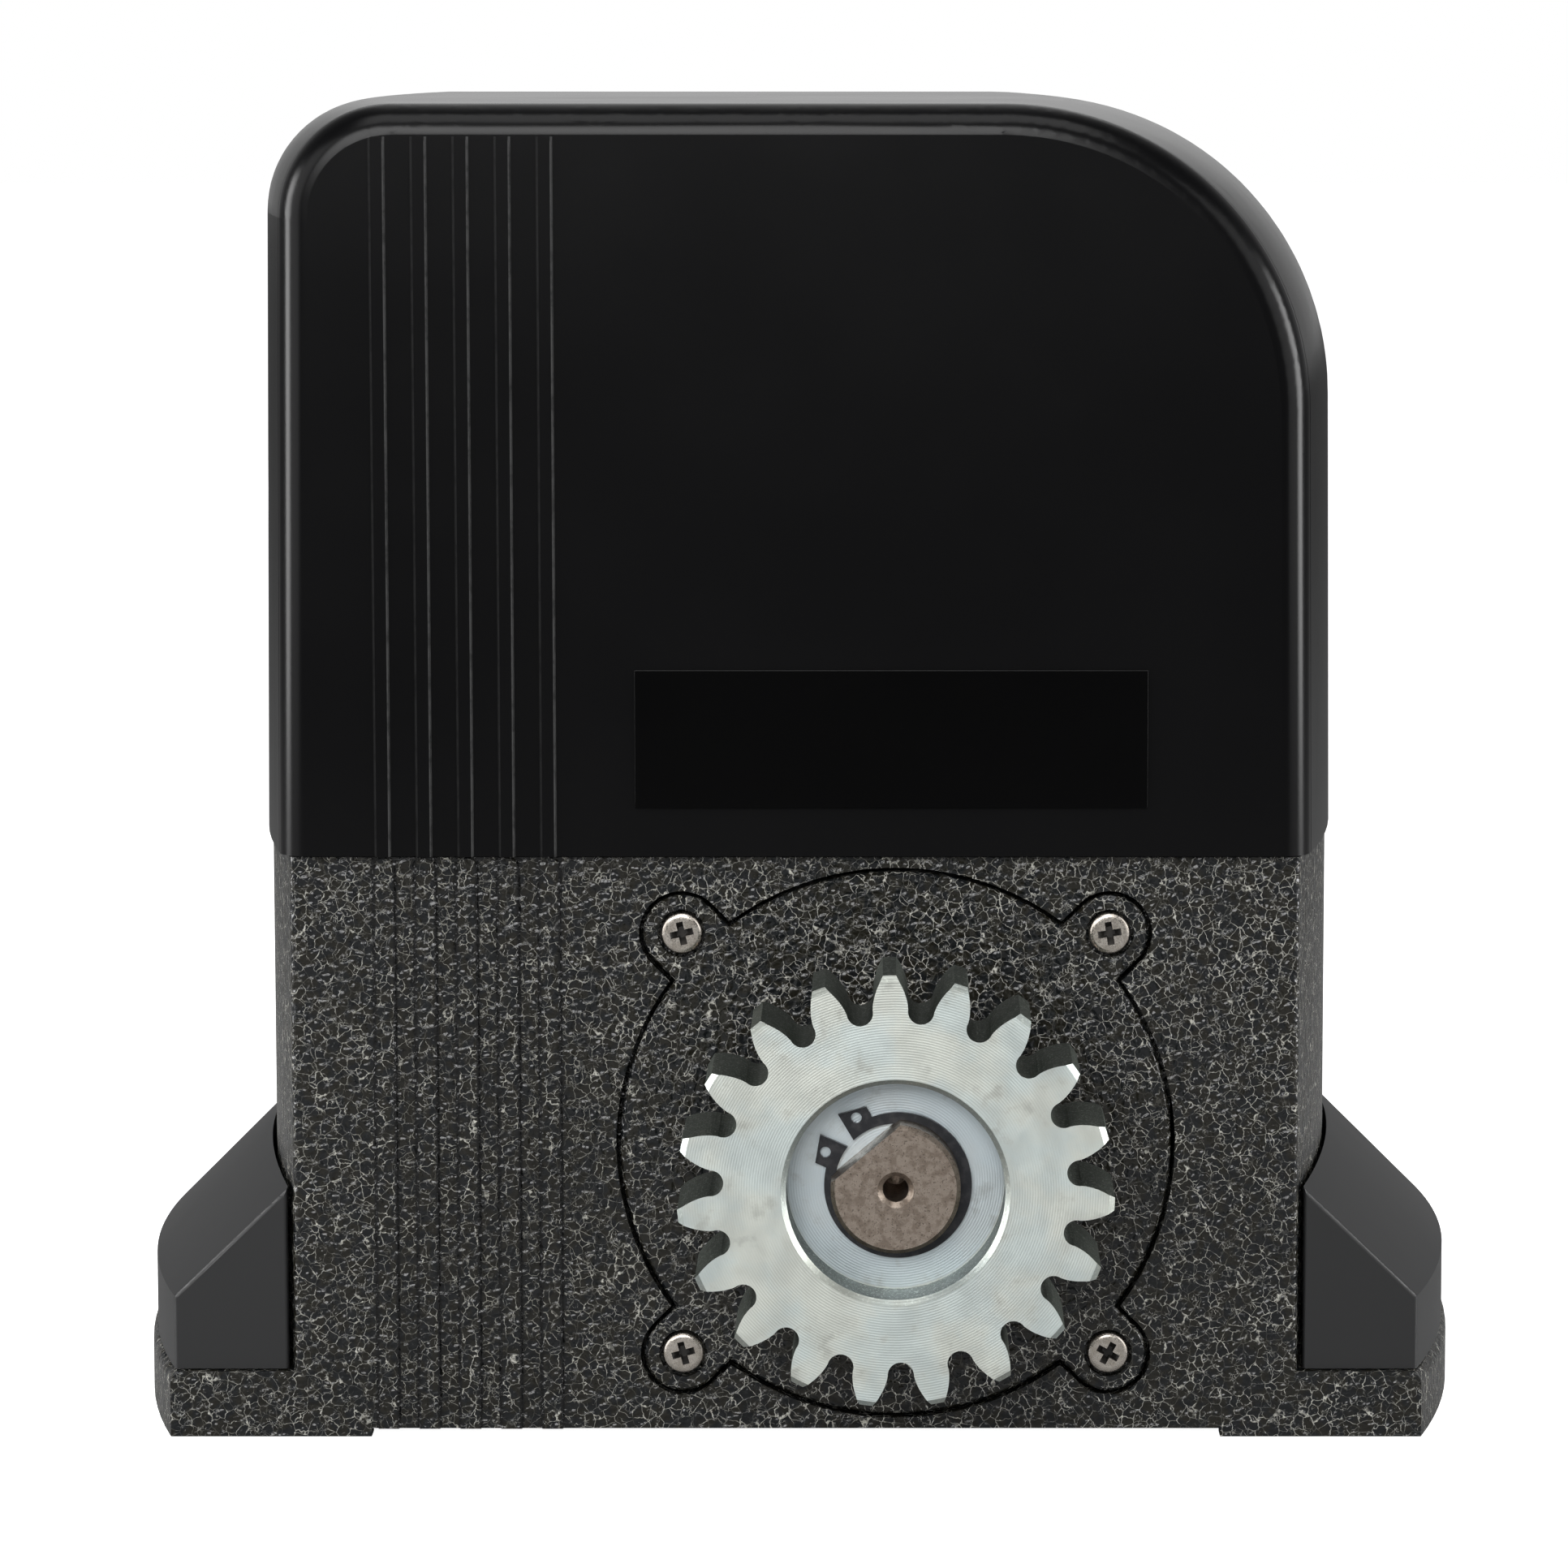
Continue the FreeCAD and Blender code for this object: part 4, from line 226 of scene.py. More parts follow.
class Finish:
    """One node material, built a node at a time."""

    def __init__(self, name, color, roughness, metallic=0.0):
        self.material = bpy.data.materials.new(name)
        self.material.use_nodes = True
        self.tree = self.material.node_tree
        self.shader = self.tree.nodes["Principled BSDF"]
        self.set("Base Color", (*color, 1.0))
        self.set("Roughness", roughness)
        self.set("Metallic", metallic)
        coordinates = self.add("ShaderNodeTexCoord")
        self.place = coordinates.outputs["Object"]
        self.normal = coordinates.outputs["Normal"]

    def add(self, kind, **settings):
        node = self.tree.nodes.new(kind)
        for key, value in settings.items():
            setattr(node, key, value)
        return node

    def wire(self, value, socket):
        """A link from an output, or a plain value."""
        if isinstance(value, bpy.types.NodeSocket):
            self.tree.links.new(value, socket)
        else:
            socket.default_value = value

    def set(self, socket, value):
        self.wire(value, self.shader.inputs[socket])

    def moved(self, offset, scale):
        """Object coordinates, shifted and scaled."""
        node = self.add("ShaderNodeMapping")
        self.wire(self.place, node.inputs["Vector"])
        node.inputs["Location"].default_value = offset
        node.inputs["Scale"].default_value = scale
        return node.outputs[0]

    def noise(self, size, detail=3.0, rough=0.5, place=None):
        """Cloudy noise whose blobs are about this many metres across."""
        node = self.add("ShaderNodeTexNoise")
        self.wire(place or self.place, node.inputs["Vector"])
        node.inputs["Scale"].default_value = 1.0 / size
        node.inputs["Detail"].default_value = detail
        node.inputs["Roughness"].default_value = rough
        return node.outputs["Fac"]

    def cells(self, size, place):
        """Distance to the edge of the nearest cell, in cell widths."""
        node = self.add("ShaderNodeTexVoronoi", feature="DISTANCE_TO_EDGE")
        self.wire(place, node.inputs["Vector"])
        node.inputs["Scale"].default_value = 1.0 / size
        return node.outputs["Distance"]

    def warped(self, size, amount):
        """Object coordinates pushed about by noise."""
        node = self.add("ShaderNodeTexNoise")
        self.wire(self.place, node.inputs["Vector"])
        node.inputs["Scale"].default_value = 1.0 / size
        node.inputs["Detail"].default_value = 2.0
        push = self.add("ShaderNodeVectorMath", operation="MULTIPLY_ADD")
        self.wire(node.outputs["Color"], push.inputs[0])
        push.inputs[1].default_value = (amount,) * 3
        self.wire(self.place, push.inputs[2])
        return push.outputs[0]

    def ramp(self, value, low, high, out_low=0.0, out_high=1.0):
        """A smooth step between two values."""
        node = self.add("ShaderNodeMapRange", interpolation_type="SMOOTHSTEP")
        self.wire(value, node.inputs["Value"])
        node.inputs["From Min"].default_value = low
        node.inputs["From Max"].default_value = high
        node.inputs["To Min"].default_value = out_low
        node.inputs["To Max"].default_value = out_high
        return node.outputs[0]

    def math(self, operation, a, b=0.0):
        node = self.add("ShaderNodeMath", operation=operation)
        self.wire(a, node.inputs[0])
        self.wire(b, node.inputs[1])
        return node.outputs[0]

    def blend(self, factor, a, b):
        """Colour a where the factor is 0 and b where it is 1."""
        node = self.add("ShaderNodeMix", data_type="RGBA")
        self.wire(factor, node.inputs["Factor"])
        for name, value in (("A", a), ("B", b)):
            socket = [s for s in node.inputs if s.name == name and s.type == "RGBA"][0]
            self.wire((*value, 1.0) if isinstance(value, tuple) else value, socket)
        return [s for s in node.outputs if s.type == "RGBA"][0]

    def painted_rib_lines(self, beside, width, top, right_only=False):
        """1 along lines this far beside the middle of each front rib: the mask for painted rib shade and
        painted rib highlight.
        """
        spot = self.add("ShaderNodeSeparateXYZ")
        self.wire(self.place, spot.inputs[0])
        along = self.math("SUBTRACT", spot.outputs["X"], RIB_FIRST)
        if right_only:
            away = self.math("FLOORED_MODULO", along, RIB_PITCH)
        else:
            away = self.math("PINGPONG", along, RIB_PITCH / 2)
        off = self.math("ABSOLUTE", self.math("SUBTRACT", away, beside))
        line = self.ramp(off, width * 0.3, width * 0.7, 1.0, 0.0)
        left = self.math("GREATER_THAN", along, -RIB_PITCH / 2)
        right = self.math("LESS_THAN", along, (RIB_COUNT - 0.5) * RIB_PITCH)
        front = self.math("LESS_THAN", spot.outputs["Y"], FRONT_Y * 0.9)
        below = self.math("LESS_THAN", spot.outputs["Z"], top)
        across = self.math("MULTIPLY", left, right)
        inside = self.math("MULTIPLY", across, self.math("MULTIPLY", front, below))
        return self.math("MULTIPLY", line, inside)

    def bump(self, height, depth, strength=1.0):
        """Adds relief of this depth in metres."""
        node = self.add("ShaderNodeBump")
        node.inputs["Distance"].default_value = depth
        node.inputs["Strength"].default_value = strength
        self.wire(height, node.inputs["Height"])
        self.set("Normal", node.outputs[0])


print("ribs from x =", round(RIB_FIRST, 4), "every", round(RIB_PITCH / MM, 1), "mm")

# %% [markdown]
# ## Hammertone paint
# The castings wear black hammertone powder. As it bakes, the silicone in it
# draws the paint into lumps a few millimetres wide, with silver-grey veins
# between them. A painted image would need seams round the castings, so the
# net comes from Voronoi cells in pushed-about coordinates. A second noise
# fades each vein in and out, as real ones do, and the same net is the
# relief. A near-black line of painted shade on both sides of each rib stands
# for the shade on its steep flank, which ribs this low hardly catch.


# %% Hammertone
def hammertone():
    paint = Finish("hammertone_paint", (0.01, 0.01, 0.009), 0.26)
    wander = paint.warped(1.4 * MM, 1.2 * MM)
    net = paint.cells(2.2 * MM, wander)
    fine_net = paint.cells(1.1 * MM, wander)
    vein = paint.ramp(net, 0.0, 0.044, 1.0, 0.0)
    fine_vein = paint.ramp(fine_net, 0.0, 0.060, 1.0, 0.0)
    fade = paint.ramp(paint.noise(2.8 * MM, 2.0), 0.42, 0.60, 0.08, 1.0)
    fine_fade = paint.ramp(paint.noise(2.0 * MM, 2.0, place=wander), 0.55, 0.66, 0.0, 0.5)
    broad = paint.math("MULTIPLY", vein, fade)
    silver = paint.math("MAXIMUM", broad, paint.math("MULTIPLY", fine_vein, fine_fade))
    tint = paint.ramp(paint.noise(2.6 * MM, 1.0), 0.40, 0.60)
    lumps = paint.blend(tint, (0.005, 0.006, 0.007), (0.010, 0.009, 0.006))
    veined = paint.blend(silver, lumps, (0.46, 0.45, 0.40))
    # painted shade: a near-black line on both sides of each front rib of the casting
    shade = paint.painted_rib_lines(2.1 * MM, 0.8 * MM, top=cad_high.z)
    paint.set("Base Color", paint.blend(shade, veined, (0.002, 0.002, 0.002)))
    paint.set("Roughness", paint.ramp(silver, 0.0, 1.0, 0.24, 0.5))
    blobs = paint.ramp(paint.noise(1.5 * MM, 1.0, 0.4), 0.30, 0.70)
    relief = paint.math("ADD", silver, blobs)
    paint.bump(relief, 0.22 * MM)
    return paint.material


HAMMERTONE = hammertone()
print("made", HAMMERTONE.name)

# %% [markdown]
# ## Moulded plastic
# The cover and the foot caps are moulded in black plastic with a fine
# spark-eroded grain. It is far too fine to model, so it is a bump that
# breaks up reflections a little and keeps the broad highlight along the
# rounded rim soft. The cover's ribs are in the solid, but they are so low
# that they hardly catch the light. So a grey line of painted highlight is
# laid along the right edge of each one, and a fainter one along the left.


# %% Plastics
RIB_LINE_AT = 1.4 * MM
RIB_LINE = 0.45 * MM


def moulded_plastic(name, color, roughness, grain=0.25 * MM, relief=0.012 * MM, shine=0.5, rib_top=None):
    """Grained plastic, with painted highlight lines along the front ribs up to rib_top."""
    plastic = Finish(name, color, roughness)
    plastic.set("Specular IOR Level", shine)
    haze = plastic.noise(35.0 * MM, 3.0)
    plastic.set("Roughness", plastic.ramp(haze, 0.3, 0.7, roughness - 0.01, roughness + 0.01))
    deeper = tuple(channel * 0.8 for channel in color)
    tone = plastic.blend(plastic.noise(grain, 2.0), color, deeper)
    if rib_top is not None:
        # painted highlight: grey lines along the edges of the cover's front ribs, brighter on the right,
        # broken up by noise
        highlight_breakup = plastic.ramp(plastic.noise(3.0 * MM, 4.0, 0.7), 0.30, 0.60, 0.45, 1.0)
        right = plastic.painted_rib_lines(RIB_LINE_AT, RIB_LINE, rib_top, right_only=True)
        left = plastic.math("MULTIPLY", plastic.painted_rib_lines(RIB_LINE_AT, RIB_LINE, rib_top), 0.22)
        edge = plastic.math("MULTIPLY", plastic.math("MAXIMUM", right, left), highlight_breakup)
        tone = plastic.blend(edge, tone, (0.060, 0.060, 0.060))
    plastic.set("Base Color", tone)
    plastic.bump(plastic.noise(grain, 2.0), relief, 0.6)
    return plastic.material


COVER_PLASTIC = moulded_plastic(
    "cover_plastic_finish", (0.0030, 0.0030, 0.0033), 0.24,
    relief=0.002 * MM, shine=0.17, rib_top=cad_high.z - 6.3 * MM,
)
CAP_PLASTIC = moulded_plastic(
    "cap_plastic_finish", (0.010, 0.0103, 0.011), 0.42, relief=0.006 * MM, shine=0.65,
)
TRAY_PLASTIC = moulded_plastic("tray_plastic_finish", (0.035, 0.035, 0.036), 0.5)
RUBBER = moulded_plastic("rubber_finish", (0.012, 0.012, 0.012), 0.65, 0.6 * MM)
print("made 4 plastics")

# %% [markdown]
# ## Zinc on the drive gear
# The gear is turned from steel, cut and zinc plated. Its face keeps the fine
# rings of the lathe, and the plating has bluish and yellowish clouds. The
# flanks between the teeth are painted much darker, as painted shade. One
# grey metal would look like tin. So the rings are a sine of the distance
# from the output axis, which the boxes of gear and shaft give, and the shader
# asks which way a face points to know a flank from the face.


# %% Zinc
gear_low, gear_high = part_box("drive_gear")
AXIS = (gear_low + gear_high) / 2
shaft_low, shaft_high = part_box("output_shaft")
AXIS.x = (shaft_low.x + shaft_high.x) / 2
RECESS_RADIUS = 20.9 * MM


def from_axis(finish, axis):
    """Distance from an axis along Y through this point."""
    centred = finish.moved(offset=(-axis.x, 0.0, -axis.z), scale=(1, 0, 1))
    node = finish.add("ShaderNodeVectorMath", operation="LENGTH")
    finish.wire(centred, node.inputs[0])
    return node.outputs["Value"]


def lathe_rings(finish, radius, pitch):
    """A ripple with this pitch in metres along the radius."""
    wave = finish.math("MULTIPLY", radius, 2.0 * math.pi / pitch)
    return finish.math("SINE", wave)


def facing(finish):
    """1 on faces square to the output axis, 0 on walls along it."""
    split = finish.add("ShaderNodeSeparateXYZ")
    finish.wire(finish.normal, split.inputs[0])
    return finish.math("ABSOLUTE", split.outputs["Y"])


def zinc_plate():
    """Plated face and recess, with painted shade on the flanks between the teeth."""
    zinc = Finish("zinc_gear_finish", (0.62, 0.66, 0.67), 0.36, 1.0)
    radius = from_axis(zinc, AXIS)
    clouds = zinc.ramp(zinc.noise(11.0 * MM, 4.0), 0.38, 0.62)
    plate = zinc.blend(clouds, (0.68, 0.75, 0.73), (0.74, 0.77, 0.71))
    blue = zinc.ramp(radius, RECESS_RADIUS - 0.3 * MM, RECESS_RADIUS + 0.3 * MM, 1.0, 0.0)
    plate = zinc.blend(zinc.math("MULTIPLY", blue, 0.6), plate, (0.74, 0.84, 0.92))
    smudge = zinc.ramp(zinc.noise(5.5 * MM, 5.0, 0.6), 0.56, 0.72, 0.0, 0.35)
    plate = zinc.blend(smudge, plate, (0.33, 0.34, 0.31))
    # painted shade: flanks between the teeth, picked by which way a face points, are far darker than the
    # face, with lighter specks
    specks = zinc.ramp(zinc.noise(0.45 * MM, 2.0), 0.56, 0.64)
    flank_shade = zinc.blend(specks, (0.105, 0.120, 0.105), (0.34, 0.37, 0.33))
    face = zinc.ramp(facing(zinc), 0.45, 0.95)
    zinc.set("Base Color", zinc.blend(face, flank_shade, plate))
    grain = zinc.ramp(zinc.noise(5.0 * MM, 3.0), 0.3, 0.7, 0.42, 0.50)
    zinc.set("Roughness", grain)
    rings = lathe_rings(zinc, radius, 0.50 * MM)
    relief = zinc.math("ADD", rings, zinc.math("MULTIPLY", zinc.noise(0.5 * MM, 2.0), 1.5))
    zinc.bump(relief, 0.009 * MM, 0.7)
    return zinc.material


ZINC = zinc_plate()
print("gear axis at x, z =", round(AXIS.x, 4), round(AXIS.z, 4))

# %% [markdown]
# ## Bare and coated steel
# The shaft end is bare turned steel with brown specks of rust. The retaining
# ring is phosphated black, and the screws are nickel with a warm tone. They
# differ only in tone, gloss and grain, so one function makes them all. The
# motor's stack of varnished sheets is another matter: it gets thin dark
# joints along Z.


# %% Metals
def worn_metal(name, tone, second, roughness, patch=3.0 * MM, grain=0.4 * MM, metallic=1.0, specks=0.0):
    """Metal in two tones, with a fine grain and, if asked, dark specks."""
    metal = Finish(name, tone, roughness, metallic)
    patches = metal.ramp(metal.noise(patch, 4.0, 0.6), 0.42, 0.62)
    shade = metal.blend(patches, tone, second)
    if specks:
        dots = metal.ramp(metal.noise(grain, 3.0, 0.6), 0.56, 0.66, 0.0, specks)
        shade = metal.blend(dots, shade, tuple(channel * 0.35 for channel in second))
    metal.set("Base Color", shade)
    dull = metal.ramp(metal.noise(grain, 2.0), 0.3, 0.7, roughness - 0.06, roughness + 0.08)
    metal.set("Roughness", dull)
    metal.bump(metal.noise(grain, 2.0), 0.008 * MM, 0.6)
    return metal.material


SHAFT_STEEL = worn_metal(
    "shaft_steel_finish", (0.38, 0.32, 0.27), (0.27, 0.22, 0.18), 0.42, 1.4 * MM, specks=0.8,
)
BLACK_STEEL = worn_metal(
    "black_steel_finish", (0.035, 0.037, 0.042), (0.06, 0.06, 0.065), 0.42, 2.0 * MM, metallic=0.6,
)
NICKEL = worn_metal("nickel_screw_finish", (0.66, 0.61, 0.55), (0.55, 0.50, 0.44), 0.28, 1.5 * MM)
BEARING_STEEL = worn_metal("bearing_steel_finish", (0.62, 0.62, 0.62), (0.54, 0.54, 0.55), 0.20)
LOCK_CHROME = worn_metal("lock_chrome_finish", (0.70, 0.70, 0.70), (0.60, 0.60, 0.61), 0.16)
CAST_ALUMINIUM = worn_metal("cast_aluminium_finish", (0.55, 0.55, 0.56), (0.45, 0.45, 0.46), 0.48, 4.0 * MM)
ZINC_SHEET = worn_metal("zinc_sheet_finish", (0.62, 0.64, 0.62), (0.52, 0.55, 0.56), 0.34, 8.0 * MM)
BRONZE = worn_metal("bronze_finish", (0.60, 0.36, 0.13), (0.50, 0.28, 0.10), 0.30)
COPPER = worn_metal("winding_copper_finish", (0.62, 0.22, 0.07), (0.45, 0.14, 0.05), 0.30, 1.2 * MM, 1.0 * MM)


def laminated_steel():
    """Varnished sheets stacked along Z: a thin dark joint between each two."""
    steel = Finish("lamination_finish", (0.20, 0.20, 0.21), 0.42, 0.9)
    spot = steel.add("ShaderNodeSeparateXYZ")
    steel.wire(steel.place, spot.inputs[0])
    layer = steel.math("PINGPONG", spot.outputs["Z"], 0.5 * MM)
    joint = steel.ramp(layer, 0.0, 0.12 * MM, 1.0, 0.0)
    varnish = steel.ramp(steel.noise(12.0 * MM, 3.0), 0.40, 0.65, 0.0, 0.6)
    sheet = steel.blend(varnish, (0.22, 0.22, 0.23), (0.15, 0.12, 0.10))
    steel.set("Base Color", steel.blend(joint, sheet, (0.05, 0.045, 0.04)))
    steel.bump(joint, -0.08 * MM, 0.7)
    return steel.material


LAMINATION = laminated_steel()
print("made 10 metals")

# %% [markdown]
# ## Inside the cover
# With the cover off, the board, relays, clamps and capacitor show. These are
# moulded or printed parts in their usual colours. The plastic from above
# serves for all of them, with its tone, gloss and grain changed.

# %% Inner finishes
BOARD_GREEN = moulded_plastic("board_green_finish", (0.008, 0.075, 0.030), 0.32, 2.0 * MM)
RELAY_BLACK = moulded_plastic("relay_black_finish", (0.018, 0.018, 0.019), 0.42)
TERMINAL_GREEN = moulded_plastic("terminal_green_finish", (0.03, 0.22, 0.07), 0.45)
CAPACITOR_WHITE = moulded_plastic("capacitor_white_finish", (0.62, 0.62, 0.58), 0.4)
GASKET = moulded_plastic("gasket_paper_finish", (0.05, 0.045, 0.035), 0.8)
print("made 5 inner finishes")

# %% [markdown]
# ## Put the finishes on
# The record gives each solid a material slot. The finishes could be set one
# object at a time, but a table from slot to finish keeps all solids of a
# kind alike, and a slot that is missing from it stops the script at once.

# %% Assign finishes
FINISHES = {
    "hammertone": HAMMERTONE,
    "cover_plastic": COVER_PLASTIC,
    "cap_plastic": CAP_PLASTIC,
    "zinc_gear": ZINC,
    "shaft_steel": SHAFT_STEEL,
    "black_steel": BLACK_STEEL,
    "nickel_screw": NICKEL,
    "bearing_steel": BEARING_STEEL,
    "lamination_steel": LAMINATION,
    "winding_copper": COPPER,
    "bronze": BRONZE,
    "cast_aluminium": CAST_ALUMINIUM,
    "zinc_sheet": ZINC_SHEET,
    "lock_chrome": LOCK_CHROME,
    "rubber_black": RUBBER,
    "gasket_paper": GASKET,
    "capacitor_white": CAPACITOR_WHITE,
    "tray_plastic": TRAY_PLASTIC,
    "board_green": BOARD_GREEN,
    "relay_black": RELAY_BLACK,
    "terminal_green": TERMINAL_GREEN,
}
for subpart in frame["record"]["subparts"]:
    node = NODES[subpart["node"]]
    node.data.materials.clear()
    node.data.materials.append(FINISHES[subpart["material_slot"]])

# %% [markdown]
# ## Floor paper
# The paper is plain white. More light would whiten it too, but would turn
# the black cover grey. So the camera sees it glow about as bright as the
# room behind it, and no horizon shows. Every other ray meets a plain grey
# sheet, which doesn't light up the black plastic from below.


# %% Paper
PAPER_WHITE = (0.86, 0.86, 0.86)
PAPER_GREY = (0.30, 0.30, 0.30)
PAPER_GLOW = 0.97


def paper():
    sheet = Finish("floor_paper", PAPER_WHITE, 0.9)
    light_path = sheet.add("ShaderNodeLightPath")
    seen_directly = light_path.outputs["Is Camera Ray"]
    sheet.set("Base Color", sheet.blend(seen_directly, PAPER_GREY, PAPER_WHITE))
    sheet.set("Emission Color", (1.0, 1.0, 1.0, 1.0))
    sheet.set("Emission Strength", sheet.math("MULTIPLY", seen_directly, PAPER_GLOW))
    return sheet.material


floor.data.materials.append(paper())
print("floor has", floor.data.materials[0].name)

# %% [markdown]
# ## Bare plate
# A thin black plate is glued to the front of the cover, low on the right.
# It is left bare. A plain box would look cut out of paper, because a sharp
# edge catches no light, so its edges are finely rounded. It is blacker and
# smoother than the grained plastic around it.


# %% Bare plate
def put(name, mesh, body, slot, *finishes):
    """Links a finished mesh and lets it ride on its body."""
    piece = bpy.data.objects.new(name, mesh)
    bpy.context.scene.collection.objects.link(piece)
    for finish in finishes:
        mesh.materials.append(finish)
    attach(piece, body)
    return piece


def as_mesh(name, shape):
    """Turns a bmesh into a mesh and lets go of it."""
    mesh = bpy.data.meshes.new(name)
    shape.to_mesh(mesh)
    shape.free()
    return mesh


def plate_mesh(name, low, high, edge):
    """A box with its edges rounded by this much."""
    shape = bmesh.new()
    bmesh.ops.create_cube(shape, size=1.0)
    size = high - low
    for vertex in shape.verts:
        for k in range(3):
            vertex.co[k] = low[k] + (vertex.co[k] + 0.5) * size[k]
    bmesh.ops.bevel(shape, geom=shape.edges, offset=edge, segments=3, affect="EDGES", profile=0.5)
    return as_mesh(name, shape)


cover_low, cover_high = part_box("top_cover")
PLATE_WIDTH = 101.3 * MM
PLATE_HEIGHT = 27.4 * MM
PLATE_THICKNESS = 0.35 * MM
PLATE_PROUD = 0.30 * MM
PLATE_EDGE = 0.12 * MM
plate_low = Vector((AXIS.x - 51.5 * MM, cover_low.y - PLATE_PROUD, cover_low.z + 9.8 * MM))
plate_high = plate_low + Vector((PLATE_WIDTH, PLATE_THICKNESS, PLATE_HEIGHT))
PLATE_BLACK = moulded_plastic("plate_black_finish", (0.0010, 0.0010, 0.0011), 0.22, relief=0.0, shine=0.12)
bare_plate = plate_mesh("cover_plate", plate_low, plate_high, PLATE_EDGE)
put("cover_plate", bare_plate, "cover", "relay_black", PLATE_BLACK)
print("plate", round(PLATE_WIDTH / MM, 1), "by", round(PLATE_HEIGHT / MM, 1), "mm")

# %% [markdown]
# ## One screw
# Cross-recess pan head screws hold the flange, the cover and the board. One
# screw is turned from a profile, as on a lathe. The cross could be drawn
# face by face, but a Boolean with two crossed wedges keeps its walls clean
# where they run out through the domed crown. The wedges carry a second
# material, which paints the recess dark: painted shade, as a real recess
# lies in shadow, together with the dirt that sits in it.


# %% One screw
def turned(profile, segments):
    """A solid of revolution about Z from (radius, height) points."""
    shape = bmesh.new()
    rings = []
    for radius, height in profile:
        if radius < 1e-7:
            rings.append([shape.verts.new((0.0, 0.0, height))] * segments)
            continue
        angles = [2 * math.pi * k / segments for k in range(segments)]
        spots = [(radius * math.cos(a), radius * math.sin(a), height) for a in angles]
        rings.append([shape.verts.new(spot) for spot in spots])
    for lower, upper in zip(rings, rings[1:]):
        for k in range(segments):
            corners = [lower[k], lower[(k + 1) % segments], upper[(k + 1) % segments], upper[k]]
            unique = list(dict.fromkeys(corners))
            if len(unique) > 2:
                shape.faces.new(unique)
    bmesh.ops.recalc_face_normals(shape, faces=shape.faces)
    return shape


def as_object(name, shape):
    made = bpy.data.objects.new(name, as_mesh(name, shape))
    bpy.context.scene.collection.objects.link(made)
    return made


def evaluated_mesh(thing):
    """A plain copy of an object's mesh with its modifiers applied."""
    depsgraph = bpy.context.evaluated_depsgraph_get()
    return bpy.data.meshes.new_from_object(thing.evaluated_get(depsgraph))


def cross_cutter(half_span, half_width, depth, top):
    """Two crossed wedges that narrow as they go down."""
    foot_span, foot_width, above = 0.45, 0.8, 0.2 * MM
    shape = bmesh.new()
    for turn in (0.0, math.pi / 2):
        arm = bmesh.ops.create_cube(shape, size=1.0)["verts"]
        for vertex in arm:
            upper = vertex.co.z > 0
            vertex.co.x *= 2 * half_span * (1.0 if upper else foot_span)
            vertex.co.y *= 2 * half_width * (1.0 if upper else foot_width)
            vertex.co.z = top + above if upper else top - depth
        bmesh.ops.rotate(shape, cent=(0, 0, 0), matrix=Matrix.Rotation(turn, 3, "Z"), verts=arm)
    return shape


def screw_profile(head_radius, head_height, shank_radius, length):
    """Half the outline of a pan head screw, from its tip to its crown."""
    edge = 0.28 * head_radius
    tip = [(0.0, -length), (shank_radius * 0.7, -length), (shank_radius, -length + 0.8 * MM)]
    head = [(shank_radius, 0.0), (head_radius * 0.97, 0.0), (head_radius, 0.1 * head_height)]
    for degrees in range(0, 91, 15):
        angle = math.radians(degrees)
        radius = head_radius - edge + edge * math.cos(angle)
        head.append((radius, head_height - edge * 0.8 * (1.0 - math.sin(angle))))
    return tip + head + [(0.0, head_height)]


def screw_mesh(name, head_radius, head_height, shank_radius, length):
    """A cross-recess screw, underside of the head at Z 0, pointing down."""
    profile = screw_profile(head_radius, head_height, shank_radius, length)
    screw = as_object(name, turned(profile, 48))
    recess = cross_cutter(head_radius * 0.58, head_radius * 0.165, head_height * 0.85, head_height)
    cutter = as_object(name + "_cutter", recess)
    for piece in (screw, cutter):
        piece.data.materials.append(NICKEL)
        piece.data.materials.append(RECESS_SHADE)
    for face in cutter.data.polygons:
        face.material_index = 1
    cut = screw.modifiers.new("recess", "BOOLEAN")
    cut.operation = "DIFFERENCE"
    cut.object = cutter
    cut.solver = "EXACT"
    cut.use_self = True
    mesh = evaluated_mesh(screw)
    mesh.name = name
    bpy.data.objects.remove(screw)
    bpy.data.objects.remove(cutter)
    return mesh


# painted shade with dirt: the dark metal on the walls of the cross recesses
RECESS_SHADE = worn_metal(
    "screw_recess_shade_and_dirt", (0.030, 0.028, 0.026), (0.05, 0.045, 0.04), 0.5, metallic=0.3,
)
FLANGE_HEAD = (4.2 * MM, 2.4 * MM)
flange_screw = screw_mesh("flange_screw", *FLANGE_HEAD, 2.5 * MM, 18.0 * MM)
print("one screw has", len(flange_screw.polygons), "faces")

# %% [markdown]
# ## A pattern by nodes
# The screws stand at the corners of a rectangle. They could be copied one by
# one, but one small node tree can set them all, and the rows of parts on
# the board as well. A grid gives the points, a copy of the piece goes on
# each of them, and a random turn leaves every cross at its own angle. The
# copies are then made real, so the result is one plain mesh.


# %% Pattern tree
PATTERN_INPUTS = {
    "Piece": "Object",
    "Width": "Float",
    "Height": "Float",
    "Columns": "Int",
    "Rows": "Int",
    "Turn": "Vector",
    "Seed": "Int",
    "Material": "Material",
}
GRID_INPUTS = {"Width": "Size X", "Height": "Size Y", "Columns": "Vertices X", "Rows": "Vertices Y"}


